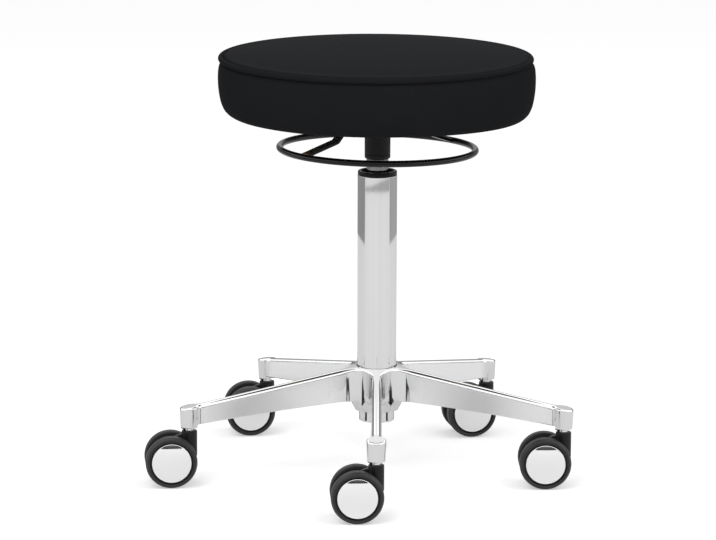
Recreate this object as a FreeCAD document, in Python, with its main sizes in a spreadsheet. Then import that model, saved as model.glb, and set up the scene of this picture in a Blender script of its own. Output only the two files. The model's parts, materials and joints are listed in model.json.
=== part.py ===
import FreeCAD, Part
import math
import os
import Sketcher

# Height-adjustable office stool on five twin-wheel castors. Millimetres and degrees.
# The origin is on the floor under the column, +Z is up and the front arm of the base points to -Y.

DRIVING_SIZES = [
    # castors
    ("wheel_diameter", 65, "castor wheel over its tread"),
    ("castor_width", 54, "over the outer faces of the two wheels"),
    ("wheel_gap", 21, "between the inner faces of the two wheels"),
    ("castor_trail", 23.5, "stem axis to axle, level"),
    ("tread_flat", 8, "flat part of the tread"),
    ("tread_edge", 1.2, "bevel on the tread's inner edge"),
    ("tread_shoulder", 5.2, "how far the outer shoulder drops below the tread"),
    ("shoulder_rise", 1.4, "how far the shoulder bulges"),
    ("wheel_wall", 5, "rim and web of the wheel"),
    ("wheel_hub_radius", 9, "hub of the wheel"),
    ("cap_diameter", 49.6, "chromed wheel cap"),
    ("cap_seat_gap", 0.3, "cap rim to the wheel's recess"),
    ("cap_sheet", 1.2, "thickness of the cap"),
    ("cap_dome", 2.1, "crown of the cap"),
    ("cap_inset", 0.6, "cap's edge below the wheel's outer face"),
    ("axle_diameter", 8, "castor axle"),
    ("axle_head_diameter", 12, "riveted heads of the axle"),
    ("axle_head_height", 1.2, "thickness of an axle head"),
    ("fork_boss_diameter", 16, "boss that holds the axle"),
    ("fork_web", 9, "thickness of the fork's web"),
    ("fork_web_radius", 26, "round part of the web, about the axle"),
    ("fork_web_bulge", 1, "bulge of the web's top edge"),
    ("housing_diameter", 19.5, "stem housing of the fork"),
    ("housing_height", 34, "stem housing, bottom to top"),
    ("fork_shoulder", 5, "housing top down to the web"),
    ("stem_collar_diameter", 12.5, "bright collar of the castor stem"),
    ("stem_collar_height", 2.5, "thickness of that collar"),
    ("stem_lower_diameter", 10, "stem inside the fork"),
    ("stem_lower_length", 30, "stem below its collar"),
    ("stem_upper_diameter", 11, "stem inside the base"),
    ("stem_upper_length", 22, "stem above its collar"),
    ("grip_ring_height", 2, "spring ring on the stem"),
    ("grip_ring_depth", 0.9, "groove under the spring ring"),
    ("grip_ring_drop", 4, "stem's top to the ring"),
    # star base
    ("arm_count", 5, "arms of the base"),
    ("stem_circle_radius", 247, "column axis to castor stem"),
    ("boss_gap", 8, "top of a wheel to the underside of the boss"),
    ("boss_height", 27, "castor boss at the end of an arm"),
    ("boss_top_diameter", 24.4, "boss at its top"),
    ("boss_foot_diameter", 22, "boss at its underside"),
    ("arm_width", 12.5, "width of an arm"),
    ("arm_edge_radius", 4, "rounding along an arm's top"),
    ("arm_fall", 9.4, "slope of an arm's top, degrees"),
    ("arm_root_depth", 50, "arm's root, from the point where the arm tops meet down to its foot"),
    ("root_top_drop", 0.4, "hub's top below the arm tops"),
    ("arm_tip_depth", 23.4, "arm's depth where it meets the boss"),
    ("arm_arch", 3, "rise of the arched underside"),
    ("arm_skin", 4.5, "metal over the hollow of an arm"),
    ("arm_side_wall", 2.6, "side walls of the hollow"),
    ("hub_height", 57.1, "hub without its lower collar, beside the tube"),
    ("hub_waist_radius", 31, "hub midway between two arms"),
    ("hub_foot_radius", 27, "hub at its foot"),
    ("collar_diameter", 45, "lower collar of the hub"),
    ("collar_height", 12.4, "lower collar of the hub"),
    ("collar_wall", 4.5, "wall of the lower collar"),
    ("slot_width", 2.6, "slots in the lower collar"),
    ("slot_height", 10.4, "slots in the lower collar"),
    # column
    ("tube_diameter", 50, "outer tube"),
    ("tube_wall", 2, "outer tube"),
    ("tube_length", 301.2, "outer tube, foot to top"),
    ("taper_angle", 1.4378, "half angle of both tapers"),
    ("tube_floor_gap", 1.6, "hub's foot to the tube's foot"),
    ("ring_cap_height", 5.5, "black ring on top of the tube"),
    ("ring_cap_wall", 4.5, "black ring on top of the tube"),
    ("bush_length", 88, "guide bush"),
    ("plate_thickness", 5, "bottom plate of the tube"),
    ("race_thickness", 2, "thrust bearing races"),
    ("race_radius", 14, "thrust bearing races"),
    ("ball_diameter", 4, "thrust bearing balls"),
    ("ball_count", 9, "thrust bearing balls"),
    ("ball_circle_radius", 10.5, "thrust bearing balls"),
    ("ball_pocket_gap", 0.1, "ball to its cage and to the upper race"),
    ("cage_height", 2, "ball cage"),
    ("cage_wall", 1.2, "ball cage beside a ball"),
    ("rod_diameter", 10, "piston rod"),
    ("rod_foot_diameter", 8, "piston rod below its shoulder"),
    ("clip_thickness", 1.2, "retaining clip"),
    ("clip_groove", 0.8, "depth of the clip's groove"),
    ("clip_reach", 3, "clip beyond the rod"),
    ("washer_thickness", 1.3, "washer over the clip"),
    ("rod_tail", 5, "rod below the clip"),
    ("bump_stop_height", 14, "rubber bump stop"),
    ("bump_stop_radius", 10, "rubber bump stop"),
    ("bump_gap", 2, "bump stop to the cylinder at the lowest seat"),
    ("cylinder_diameter", 28, "pressure cylinder"),
    ("cylinder_wall", 1.5, "pressure cylinder"),
    ("cylinder_head", 20, "thick head of the cylinder"),
    ("gland_length", 18, "rod gland"),
    ("piston_height", 13, "piston"),
    ("piston_margin", 3, "piston to gland at full height"),
    ("lift_stroke", 195, "travel of the gas lift"),
    ("exposed_cylinder", 15, "ring cap to the socket at the lowest seat"),
    # release
    ("socket_diameter", 32.6, "socket for the cylinder's taper"),
    ("socket_length", 41.8, "socket for the cylinder's taper"),
    ("socket_land", 0.5, "flat ring at the socket's mouth"),
    ("socket_round", 3.4, "height of the socket's rounded lower edge"),
    ("socket_round_rise", 0.8, "bulge of that edge"),
    ("socket_line_height", 6.4, "groove line above the socket's lower edge"),
    ("socket_line_width", 1, "groove line"),
    ("socket_line_depth", 0.6, "groove line"),
    ("cone_proud", 1, "cylinder's top above the socket"),
    ("bracket_sheet", 3, "channel under the seat plate"),
    ("bracket_inner_width", 34, "between the channel's cheeks"),
    ("bracket_front", 32, "channel from the column axis towards the lever's hand side"),
    ("bracket_back", 22, "channel from the column axis the other way"),
    ("lever_azimuth", 220, "direction of the lever's hand side, degrees"),
    ("lever_room_below", 3.5, "cylinder's top to the lever"),
    ("lever_room_above", 3.5, "lever to the seat plate"),
    ("bar_width", 12, "lever bar"),
    ("bar_thickness", 5, "lever bar"),
    ("bar_shoulder", 49.5, "level middle of the lever, from the column axis"),
    ("bar_elbow_reach", 68, "lower bend of the lever, from the column axis"),
    ("bar_elbow_drop", 20.5, "lower bend below the level middle"),
    ("bar_bend_radius", 7, "bends of the lever bar"),
    ("pivot_offset", 20, "pivot pin from the column axis"),
    ("pivot_diameter", 5, "pivot pin"),
    ("pivot_end", 2, "pin beyond the channel"),
    ("knuckle_diameter", 10, "lever's eye round the pin"),
    ("ring_radius", 123.2, "release ring, to the middle of its rod"),
    ("ring_rod_diameter", 8.4, "rod of the release ring"),
    ("ring_drop", 33.8, "ring below the level middle of the lever"),
    ("button_diameter", 8, "valve button"),
    ("button_depth", 18.5, "valve button inside the cylinder's head"),
    ("button_dome", 0.8, "domed end of the button"),
    ("button_gap", 0.3, "button to the lever at rest"),
    # seat
    ("plate_side", 150, "seat plate"),
    ("plate_corner", 15, "corners of the seat plate"),
    ("plate_sheet", 3, "seat plate"),
    ("screw_spacing", 115, "square pattern of the seat screws"),
    ("screw_diameter", 8, "seat screws"),
    ("screw_hole_play", 0.3, "hole round a seat screw, on the radius"),
    ("screw_head_diameter", 13, "seat screws"),
    ("screw_head_height", 5, "seat screws"),
    ("screw_washer_diameter", 17, "washers of the seat screws"),
    ("screw_washer_height", 1.6, "washers of the seat screws"),
    ("nut_flange_diameter", 20, "T-nuts"),
    ("nut_flange_height", 1.5, "T-nuts"),
    ("nut_barrel_diameter", 10, "T-nuts"),
    ("nut_barrel_length", 8, "T-nuts below the flange"),
    ("board_radius", 170, "plywood seat board"),
    ("board_thickness", 12, "plywood seat board"),
    ("cover_thickness", 1.5, "faux leather"),
    ("hem_width", 26, "cover turned under the board"),
    ("dust_cover_thickness", 1, "cloth under the board"),
    ("dust_cover_inner_radius", 108, "cloth under the board"),
    ("seat_radius", 199.4, "widest part of the side band"),
    ("foot_inset", 22.4, "widest part of the band to the flat underside"),
    ("turn_inset", 5.2, "widest part of the band to the top of the lower rounding"),
    ("turn_height", 13.4, "height of the lower rounding"),
    ("turn_rise", 4, "bulge of the lower rounding"),
    ("band_widest_height", 49, "widest part of the band above the underside"),
    ("band_rise", 1.6, "bulge of the band below its widest part"),
    ("tuck_inset", 2.4, "crease under the piping, drawn in"),
    ("tuck_height", 63.7, "crease under the piping above the underside"),
    ("tuck_rise", 0.7, "bulge between the widest part and the crease"),
    ("piping_radius", 3.3, "piping cord in its welt"),
    ("piping_inset", 4.2, "widest part of the band to the piping's middle"),
    ("piping_height", 71, "piping's middle above the underside"),
    ("seam_drop", 1.2, "seam of top and band below the piping's middle"),
    ("seam_inset", 2.2, "seam of top and band inside the piping's middle"),
    ("crown_height", 10, "crown's top above the piping's middle"),
    ("crown_fall", 4.7, "crown's top down to where the edge rolls over"),
    ("roll_width", 17.2, "rolled edge of the top panel"),
    ("roll_rise", 1.5, "bulge of the rolled edge"),
    # fits
    ("running_gap", 0.05, "shaft in its bore, on the radius"),
    ("side_gap", 0.3, "faces that pass each other"),
]

# Where each castor stands (arm number from the front) and how far it is turned at rest.
CASTORS = [
    ("front", 0, "front_castor_yaw", 2.7),
    ("right_front", 1, "right_front_castor_yaw", 1.4),
    ("right_rear", 2, "right_rear_castor_yaw", 11.7),
    ("left_rear", 3, "left_rear_castor_yaw", 7.0),
    ("left_front", 4, "left_front_castor_yaw", 5.6),
]
FRONT_AZIMUTH = -90
FULL_TURN = 360
DOME = "dome"


class Size:
    """A size that carries its value and the sheet expression that it comes from."""

    def __init__(self, value, text):
        self.value = float(value)
        self.text = text

    def __add__(self, other):
        other = as_size(other)
        return Size(self.value + other.value, "(%s + %s)" % (self.text, other.text))

    def __sub__(self, other):
        other = as_size(other)
        return Size(self.value - other.value, "(%s - %s)" % (self.text, other.text))

    def __mul__(self, other):
        other = as_size(other)
        return Size(self.value * other.value, "(%s * %s)" % (self.text, other.text))

    def __truediv__(self, other):
        other = as_size(other)
        return Size(self.value / other.value, "(%s / %s)" % (self.text, other.text))

    def __radd__(self, other):
        return as_size(other) + self

    def __rsub__(self, other):
        return as_size(other) - self

    def __rmul__(self, other):
        return as_size(other) * self

    def __rtruediv__(self, other):
        return as_size(other) / self

    def __neg__(self):
        return as_size(0) - self


def as_size(number):
    """A plain number as a size; a size stays as it is."""
    return number if isinstance(number, Size) else Size(number, repr(float(number)))


def cosine(angle):
    return Size(math.cos(math.radians(angle.value)), "cos(%s * 1 deg)" % angle.text)


def sine(angle):
    return Size(math.sin(math.radians(angle.value)), "sin(%s * 1 deg)" % angle.text)


def tangent(angle):
    return Size(math.tan(math.radians(angle.value)), "tan(%s * 1 deg)" % angle.text)


class SheetSizes:
    """The driving sizes, each in a named cell of the document's sheet."""

    def __init__(self, sheet, rows):
        for row, (alias, number, meaning) in enumerate(rows, start=1):
            sheet.set("A%d" % row, meaning)
            sheet.set("B%d" % row, str(number))
            sheet.setAlias("B%d" % row, alias)
        sheet.Document.recompute()
        for alias, _, _ in rows:
            setattr(self, alias, Size(sheet.get(alias), "%s.%s" % (sheet.Name, alias)))


doc = FreeCAD.newDocument("office_stool")
yaw_rows = [(alias, yaw, "turn of this castor at rest, degrees") for _, _, alias, yaw in CASTORS]
dim = SheetSizes(doc.addObject("Spreadsheet::Sheet", "Sizes"), DRIVING_SIZES + yaw_rows)
sub_parts = []


# Helpers that draw bound sketches and build bodies from them


def new_body(label):
    body = doc.addObject("PartDesign::Body", label)
    body.Label = label
    return body


def keep(body):
    """Count a finished object as one of the stool's sub-parts."""
    sub_parts.append(body)
    return body


def origin_plane(body, role):
    return next(item for item in body.Origin.OriginFeatures if item.Role == role)


def new_sketch(body, name, role, level=None):
    """Sketch on one of the body's own origin planes, raised by level where one is given."""
    sketch = body.newObject("Sketcher::SketchObject", name)
    sketch.AttachmentSupport = [(origin_plane(body, role), "")]
    sketch.MapMode = "FlatFace"
    if level is not None:
        sketch.setExpression("AttachmentOffset.Base.z", as_size(level).text)
    return sketch


def bind_point(sketch, side, end, across, up):
    """Tie a point of a sketch to its two sizes, or to an axis where the size is zero."""
    for size, kind, axis in ((across, "DistanceX", -2), (up, "DistanceY", -1)):
        if size.value == 0:
            sketch.addConstraint(Sketcher.Constraint("PointOnObject", side, end, axis))
        else:
            number = sketch.addConstraint(Sketcher.Constraint(kind, -1, 1, side, end, size.value))
            sketch.setExpression("Constraints[%d]" % number, size.text)


def arc_about(centre, radius, start, finish, leftward):
    """Arc about a centre from start to finish, and its point numbers at start and finish.

    A sketch counts an arc anticlockwise, so one that turns right is drawn from finish to start.
    """
    angles = [math.atan2(y.value - centre.y, x.value - centre.x) for x, y in (start[:2], finish[:2])]
    ends = (1, 2)
    if not leftward:
        angles.reverse()
        ends = (2, 1)
    if angles[1] < angles[0]:
        angles[1] += 2 * math.pi
    circle = Part.Circle(centre, FreeCAD.Vector(0, 0, 1), radius)
    return Part.ArcOfCircle(circle, angles[0], angles[1]), ends


def arc_between(start, finish, rise):
    """Arc from start to finish that bulges by rise to the right of the way (left if negative)."""
    run = finish[0] - start[0]
    climb = finish[1] - start[1]
    radius = (run * run + climb * climb) / (8 * rise) + rise / 2
    leftward = rise.value > 0
    if not leftward:
        radius = -radius
    chord = math.hypot(run.value, climb.value)
    right = FreeCAD.Vector(climb.value / chord, -run.value / chord, 0)
    middle = FreeCAD.Vector(start[0].value + run.value / 2, start[1].value + climb.value / 2, 0)
    inward = radius.value if leftward else -radius.value
    centre = middle + right * (rise.value - inward)
    curve, ends = arc_about(centre, radius.value, start, finish, leftward)
    return curve, radius, ends


def dome_between(start, finish):
    """Arc from the turning axis to a rim, or back, whose centre lies on the axis."""
    apex, rim = (start, finish) if start[0].value == 0 else (finish, start)
    drop = apex[1].value - rim[1].value
    radius = (rim[0].value ** 2 + drop ** 2) / (2 * drop)
    centre = FreeCAD.Vector(0, apex[1].value - radius, 0)
    outward = start is apex
    return arc_about(centre, abs(radius), start, finish, outward != (drop > 0))


def draw_path(sketch, corners, closed=True):
    """Draw sides through the corners, bound to their sizes.

    A corner is (across, up), or (across, up, rise): then the side that arrives at it is an arc. The word
    DOME in place of a rise makes the arc's centre lie on the vertical axis.
    """
    corners = [tuple(n if n == DOME else as_size(n) for n in corner) for corner in corners]
    spans = list(zip(corners[-1:] + corners[:-1], corners)) if closed else list(zip(corners, corners[1:]))
    first = sketch.GeometryCount
    drawn = []
    for start, finish in spans:
        radius = None
        if finish[2:] == (DOME,):
            curve, ends = dome_between(start, finish)
        elif len(finish) == 3:
            curve, radius, ends = arc_between(start, finish, finish[2])
        else:
            points = [FreeCAD.Vector(x.value, y.value, 0) for x, y in (start[:2], finish[:2])]
            curve, ends = Part.LineSegment(*points), (1, 2)
        drawn.append((sketch.addGeometry(curve), radius, ends, start, finish))
    for (side, _, ends, _, _), (after, _, ends_after, _, _) in zip(drawn, drawn[1:]):
        sketch.addConstraint(Sketcher.Constraint("Coincident", side, ends[1], after, ends_after[0]))
    if closed:
        last = drawn[-1]
        sketch.addConstraint(Sketcher.Constraint("Coincident", last[0], last[2][1], first, drawn[0][2][0]))
    else:
        bind_point(sketch, first, drawn[0][2][0], drawn[0][3][0], drawn[0][3][1])
    for side, radius, ends, _, finish in drawn:
        bind_point(sketch, side, ends[1], finish[0], finish[1])
        if radius is not None:
            number = sketch.addConstraint(Sketcher.Constraint("Radius", side, radius.value))
            sketch.setExpression("Constraints[%d]" % number, radius.text)
        if finish[2:] == (DOME,):
            sketch.addConstraint(Sketcher.Constraint("PointOnObject", side, 3, -2))
    return sketch


def draw_circle(sketch, across, up, radius):
    across, up, radius = as_size(across), as_size(up), as_size(radius)
    centre = FreeCAD.Vector(across.value, up.value, 0)
    side = sketch.addGeometry(Part.Circle(centre, FreeCAD.Vector(0, 0, 1), radius.value))
    bind_point(sketch, side, 3, across, up)
    number = sketch.addConstraint(Sketcher.Constraint("Radius", side, radius.value))
    sketch.setExpression("Constraints[%d]" % number, radius.text)
    return sketch


def turn_feature(body, kind, sketch, name):
    """Revolution or Groove of a sketch about its own vertical axis."""
    feature = body.newObject("PartDesign::" + kind, name)
    feature.Profile = sketch
    feature.ReferenceAxis = (sketch, ["V_Axis"])
    feature.Angle = FULL_TURN
    return feature


def turned(label, corners, role="XZ_Plane"):
    """Body turned about the sketch's vertical axis: Z on the XZ plane, Y on the XY plane."""
    body = new_body(label)
    sketch = draw_path(new_sketch(body, label + "_profile", role), corners)
    turn_feature(body, "Revolution", sketch, label + "_turn")
    return body


def extrude(body, kind, sketch, name, length, back=None, symmetric=False):
    """Pad or Pocket of a sketch; back is the length on the other side of the sketch."""
    feature = body.newObject("PartDesign::" + kind, name)
    feature.Profile = sketch
    feature.setExpression("Length", as_size(length).text)
    if symmetric:
        feature.SideType = "Symmetric"
    if back is not None:
        feature.SideType = "Two sides"
        feature.setExpression("Length2", as_size(back).text)
    return feature


def cut_through(body, sketch, name):
    """Pocket that runs through the whole body on both sides of its sketch."""
    feature = body.newObject("PartDesign::Pocket", name)
    feature.Profile = sketch
    feature.SideType = "Symmetric"
    feature.Type = "ThroughAll"
    return feature


def around(body, name, sketch, originals, count):
    """Polar pattern of features about the vertical axis of a sketch on the XZ plane."""
    pattern = body.newObject("PartDesign::PolarPattern", name)
    pattern.Originals = originals
    pattern.Axis = (sketch, ["V_Axis"])
    pattern.Angle = FULL_TURN
    pattern.setExpression("Occurrences", count.text)
    body.Tip = pattern
    return pattern


def place(thing, x=0, y=0, z=0, angle=0):
    """Bind a sub-part's place, and its turn about Z, to the sheet."""
    thing.Placement.Rotation = FreeCAD.Rotation(FreeCAD.Vector(0, 0, 1), as_size(angle).value)
    for axis, size in (("x", x), ("y", y), ("z", z)):
        if isinstance(size, Size):
            thing.setExpression("Placement.Base." + axis, size.text)
    if isinstance(angle, Size):
        thing.setExpression("Placement.Rotation.Angle", angle.text)
    return thing


def group(label, pieces):
    """Like pieces kept together as separate solids under one name."""
    compound = doc.addObject("Part::Compound", label)
    compound.Label = label
    compound.Links = pieces
    return keep(compound)


# Heights and radii that several pieces share, worked out from the floor up

axle_level = dim.wheel_diameter / 2
boss_foot = dim.wheel_diameter + dim.boss_gap
boss_top = boss_foot + dim.boss_height
arm_peak = boss_top + dim.stem_circle_radius * tangent(dim.arm_fall)
hub_top = arm_peak - dim.tube_diameter / 2 * tangent(dim.arm_fall)
hub_foot = hub_top - dim.hub_height
arm_root_foot = arm_peak - dim.arm_root_depth
collar_foot = hub_foot - dim.collar_height
tube_foot = hub_foot + dim.tube_floor_gap
tube_top = tube_foot + dim.tube_length
ring_cap_top = tube_top + dim.ring_cap_height
tube_radius = dim.tube_diameter / 2
tube_foot_radius = tube_radius - (hub_top - tube_foot) * tangent(dim.taper_angle)
tube_bore = tube_radius - dim.tube_wall
plate_top = tube_foot + dim.plate_thickness
lower_race_top = plate_top + dim.race_thickness
upper_race_foot = lower_race_top + dim.ball_diameter + dim.ball_pocket_gap
rod_shoulder = upper_race_foot + dim.race_thickness
rod_radius = dim.rod_diameter / 2
rod_foot_radius = dim.rod_foot_diameter / 2
washer_top = tube_foot - dim.side_gap
clip_top = washer_top - dim.washer_thickness
clip_foot = clip_top - dim.clip_thickness
cylinder_foot = rod_shoulder + dim.bump_stop_height + dim.bump_gap
cylinder_radius = dim.cylinder_diameter / 2
cylinder_bore = cylinder_radius - dim.cylinder_wall
piston_foot = cylinder_foot + dim.gland_length + dim.lift_stroke + dim.piston_margin
piston_top = piston_foot + dim.piston_height
socket_foot = ring_cap_top + dim.exposed_cylinder
socket_top = socket_foot + dim.socket_length
socket_radius = dim.socket_diameter / 2
cone_top = socket_top + dim.cone_proud
cone_slope = tangent(dim.taper_angle)
bar_foot = cone_top + dim.lever_room_below
bar_middle = bar_foot + dim.bar_thickness / 2
plate_foot = bar_foot + dim.bar_thickness + dim.lever_room_above
board_foot = plate_foot + dim.plate_sheet
board_top = board_foot + dim.board_thickness
ring_level = bar_middle - dim.ring_drop
button_radius = dim.button_diameter / 2
button_top = bar_foot - dim.button_gap
lever_turn = dim.lever_azimuth
screw_offset = dim.screw_spacing / 2
screw_radius = dim.screw_diameter / 2
arm_step = FULL_TURN / dim.arm_count


def cone_radius(level):
    """Radius of the cylinder's upper taper at a height."""
    return cylinder_radius - (level - socket_foot) * cone_slope


# Star base: one arm is modelled with its boss, carried round, then joined by the hub


def arm_top(reach):
    """Height of an arm's top at a distance from the column axis."""
    return arm_peak - reach * tangent(dim.arm_fall)


def add_root(body):
    """Root of an arm: hollow flanks that run into the next arms, under a top that falls outwards.

    Each flank is a round flute that touches the arm's side and is nearest to the column midway
    between two arms, where it meets the next arm's flank.
    """
    half = dim.arm_width / 2
    half_step = arm_step / 2
    waist = dim.hub_waist_radius
    flute = (waist * sine(half_step) - half) / (1 - sine(half_step))
    rise = flute * (1 - cosine((90 - half_step) / 2))
    touch = (waist + flute) * cosine(half_step)
    meet = (waist * cosine(half_step), waist * sine(half_step))
    plan = draw_path(new_sketch(body, "root_plan", "XY_Plane", arm_root_foot), [
        (0, 0),
        (meet[0], -meet[1]),
        (touch, -half, -rise),
        (touch, half),
        (meet[0], meet[1], -rise),
    ])
    extrude(body, "Pad", plan, "root", dim.arm_root_depth * 2)
    crest = draw_path(new_sketch(body, "root_crest", "XZ_Plane"), [
        (0, arm_peak - dim.root_top_drop),
        (dim.stem_circle_radius, boss_top - dim.root_top_drop),
        (dim.stem_circle_radius, arm_peak + dim.arm_root_depth * 2),
        (0, arm_peak + dim.arm_root_depth * 2),
    ])
    turn_feature(body, "Groove", crest, "root_top")
    return touch


def add_arm(body, root_reach):
    """Arm along +X: a rounded bar that falls outwards, arched and hollow below."""
    half = dim.arm_width / 2
    edge = dim.arm_edge_radius
    shoulder = arm_peak - edge
    edge_rise = edge * (1 - math.sqrt(0.5))
    section = draw_path(new_sketch(body, "arm_section", "YZ_Plane"), [
        (-half, arm_root_foot),
        (half, arm_root_foot),
        (half, shoulder),
        (half - edge, arm_peak, edge_rise),
        (edge - half, arm_peak),
        (-half, shoulder, edge_rise),
    ])
    bar = extrude(body, "Pad", section, "arm_bar", dim.stem_circle_radius)
    bar.UseCustomVector = True
    bar.Direction = FreeCAD.Vector(1, 0, 0)
    bar.setExpression("Direction.z", (-tangent(dim.arm_fall)).text)
    bar.AlongSketchNormal = True
    outer = dim.stem_circle_radius - dim.boss_foot_diameter / 2
    floor = -dim.wheel_diameter
    beyond = dim.stem_circle_radius + dim.boss_top_diameter
    tip_foot = arm_top(outer) - dim.arm_tip_depth
    below = draw_path(new_sketch(body, "arm_underside", "XZ_Plane"), [
        (root_reach, floor),
        (beyond, floor),
        (beyond, tip_foot),
        (outer, tip_foot),
        (root_reach, arm_root_foot, dim.arm_arch),
    ])
    extrude(body, "Pocket", below, "arm_arch_cut", dim.arm_width * 2, symmetric=True)
    hollow_end = outer - dim.arm_skin
    hollow = draw_path(new_sketch(body, "arm_hollow", "XZ_Plane"), [
        (root_reach, floor),
        (hollow_end, floor),
        (hollow_end, arm_top(hollow_end) - dim.arm_skin),
        (root_reach, arm_top(root_reach) - dim.arm_skin),
    ])
    extrude(body, "Pocket", hollow, "arm_hollow_cut", dim.arm_width - 2 * dim.arm_side_wall, symmetric=True)


def add_boss(body):
    """Tapered boss at the arm's end, with the blind bore for the castor stem."""
    boss = draw_circle(new_sketch(body, "boss_circle", "XY_Plane", boss_foot),
                       dim.stem_circle_radius, 0, dim.boss_foot_diameter / 2)
    pad = extrude(body, "Pad", boss, "boss", dim.boss_height)
    spread = (dim.boss_top_diameter - dim.boss_foot_diameter) / 2
    taper = Size(math.degrees(math.atan2(spread.value, dim.boss_height.value)),
                 "atan2(%s; %s)" % (spread.text, dim.boss_height.text))
    pad.setExpression("TaperAngle", taper.text)
    bore = draw_circle(new_sketch(body, "stem_bore_circle", "XY_Plane", boss_foot),
                       dim.stem_circle_radius, 0, dim.stem_upper_diameter / 2)
    depth = dim.stem_upper_length + dim.side_gap
    pocket = extrude(body, "Pocket", bore, "stem_bore", depth)
    pocket.Reversed = True


def star_base():
    body = new_body("star_base")
    root_reach = add_root(body)
    add_arm(body, root_reach)
    add_boss(body)
    axis = draw_path(new_sketch(body, "hub_profile", "XZ_Plane"), [
        (0, collar_foot),
        (dim.collar_diameter / 2, collar_foot),
        (dim.collar_diameter / 2, hub_foot),
        (dim.hub_foot_radius, hub_foot),
        (dim.hub_waist_radius, arm_root_foot),
        (0, arm_root_foot),
    ])
    arms = around(body, "arms", axis, [], dim.arm_count)
    arms.TransformMode = "Whole shape"
    turn_feature(body, "Revolution", axis, "hub")
    collar_bore = dim.collar_diameter / 2 - dim.collar_wall
    ledge = tube_foot - dim.side_gap
    ledge_radius = tube_radius - (hub_top - ledge) * cone_slope
    bore = draw_path(new_sketch(body, "hub_bore_profile", "XZ_Plane"), [
        (0, collar_foot - dim.collar_height),
        (collar_bore, collar_foot - dim.collar_height),
        (collar_bore, ledge),
        (ledge_radius, ledge),
        (tube_radius + dim.hub_height * cone_slope, hub_top + dim.hub_height),
        (0, hub_top + dim.hub_height),
    ])
    turn_feature(body, "Groove", bore, "hub_bore")
    middle = hub_foot - dim.slot_height / 2
    slot = draw_path(new_sketch(body, "slot_outline", "YZ_Plane"), [
        (-dim.slot_width / 2, middle - dim.slot_height / 2),
        (dim.slot_width / 2, middle - dim.slot_height / 2),
        (dim.slot_width / 2, middle + dim.slot_height / 2),
        (-dim.slot_width / 2, middle + dim.slot_height / 2),
    ])
    cut = extrude(body, "Pocket", slot, "slot_cut", dim.collar_diameter)
    around(body, "slots", axis, [cut], dim.arm_count)
    first_arm = as_size(FRONT_AZIMUTH)
    return keep(place(body, angle=first_arm))


# Column: outer tube, its fittings, and the gas lift inside it


def column_tube():
    foot_bore = tube_foot_radius - dim.tube_wall
    return keep(turned("column_tube", [
        (foot_bore, tube_foot),
        (tube_foot_radius, tube_foot),
        (tube_radius, hub_top),
        (tube_radius, tube_top),
        (tube_bore, tube_top),
        (tube_bore, hub_top),
    ]))


def hollow_cylinder(label, inner, outer, foot, top):
    return turned(label, [(inner, foot), (outer, foot), (outer, top), (inner, top)])


def column_fittings():
    keep(hollow_cylinder("column_ring_cap", tube_radius - dim.ring_cap_wall, tube_radius,
                         tube_top, ring_cap_top))
    keep(hollow_cylinder("guide_bush", cylinder_radius + dim.running_gap, tube_bore,
                         tube_top - dim.bush_length, tube_top))
    rod_hole = rod_foot_radius + dim.running_gap
    keep(hollow_cylinder("tube_bottom_plate", rod_hole, tube_foot_radius - dim.tube_wall,
                         tube_foot, plate_top))
    keep(hollow_cylinder("bearing_lower_race", rod_hole, dim.race_radius, plate_top, lower_race_top))
    keep(hollow_cylinder("bearing_upper_race", rod_foot_radius, dim.race_radius,
                         upper_race_foot, rod_shoulder))


def thrust_bearing():
    """Balls resting on the lower race, kept apart by a drilled cage ring."""
    ball_radius = dim.ball_diameter / 2
    level = lower_race_top + ball_radius
    reach = ball_radius + dim.cage_wall
    cage = turned("cage_ring", [
        (dim.ball_circle_radius - reach, level - dim.cage_height / 2),
        (dim.ball_circle_radius + reach, level - dim.cage_height / 2),
        (dim.ball_circle_radius + reach, level + dim.cage_height / 2),
        (dim.ball_circle_radius - reach, level + dim.cage_height / 2),
    ])
    hole = draw_circle(new_sketch(cage, "ball_hole", "XY_Plane", level),
                       dim.ball_circle_radius, 0, ball_radius + dim.ball_pocket_gap)
    drilled = cut_through(cage, hole, "ball_hole_cut")
    axis = new_sketch(cage, "cage_axis", "XZ_Plane")
    around(cage, "ball_holes", axis, [drilled], dim.ball_count)
    balls = []
    for number in range(round(dim.ball_count.value)):
        ball = doc.addObject("Part::Sphere", "bearing_ball_%d" % number)
        ball.setExpression("Radius", ball_radius.text)
        angle = number * FULL_TURN / dim.ball_count
        place(ball, dim.ball_circle_radius * cosine(angle), dim.ball_circle_radius * sine(angle), level)
        balls.append(ball)
    group("bearing_ball_cage", [cage] + balls)


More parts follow.
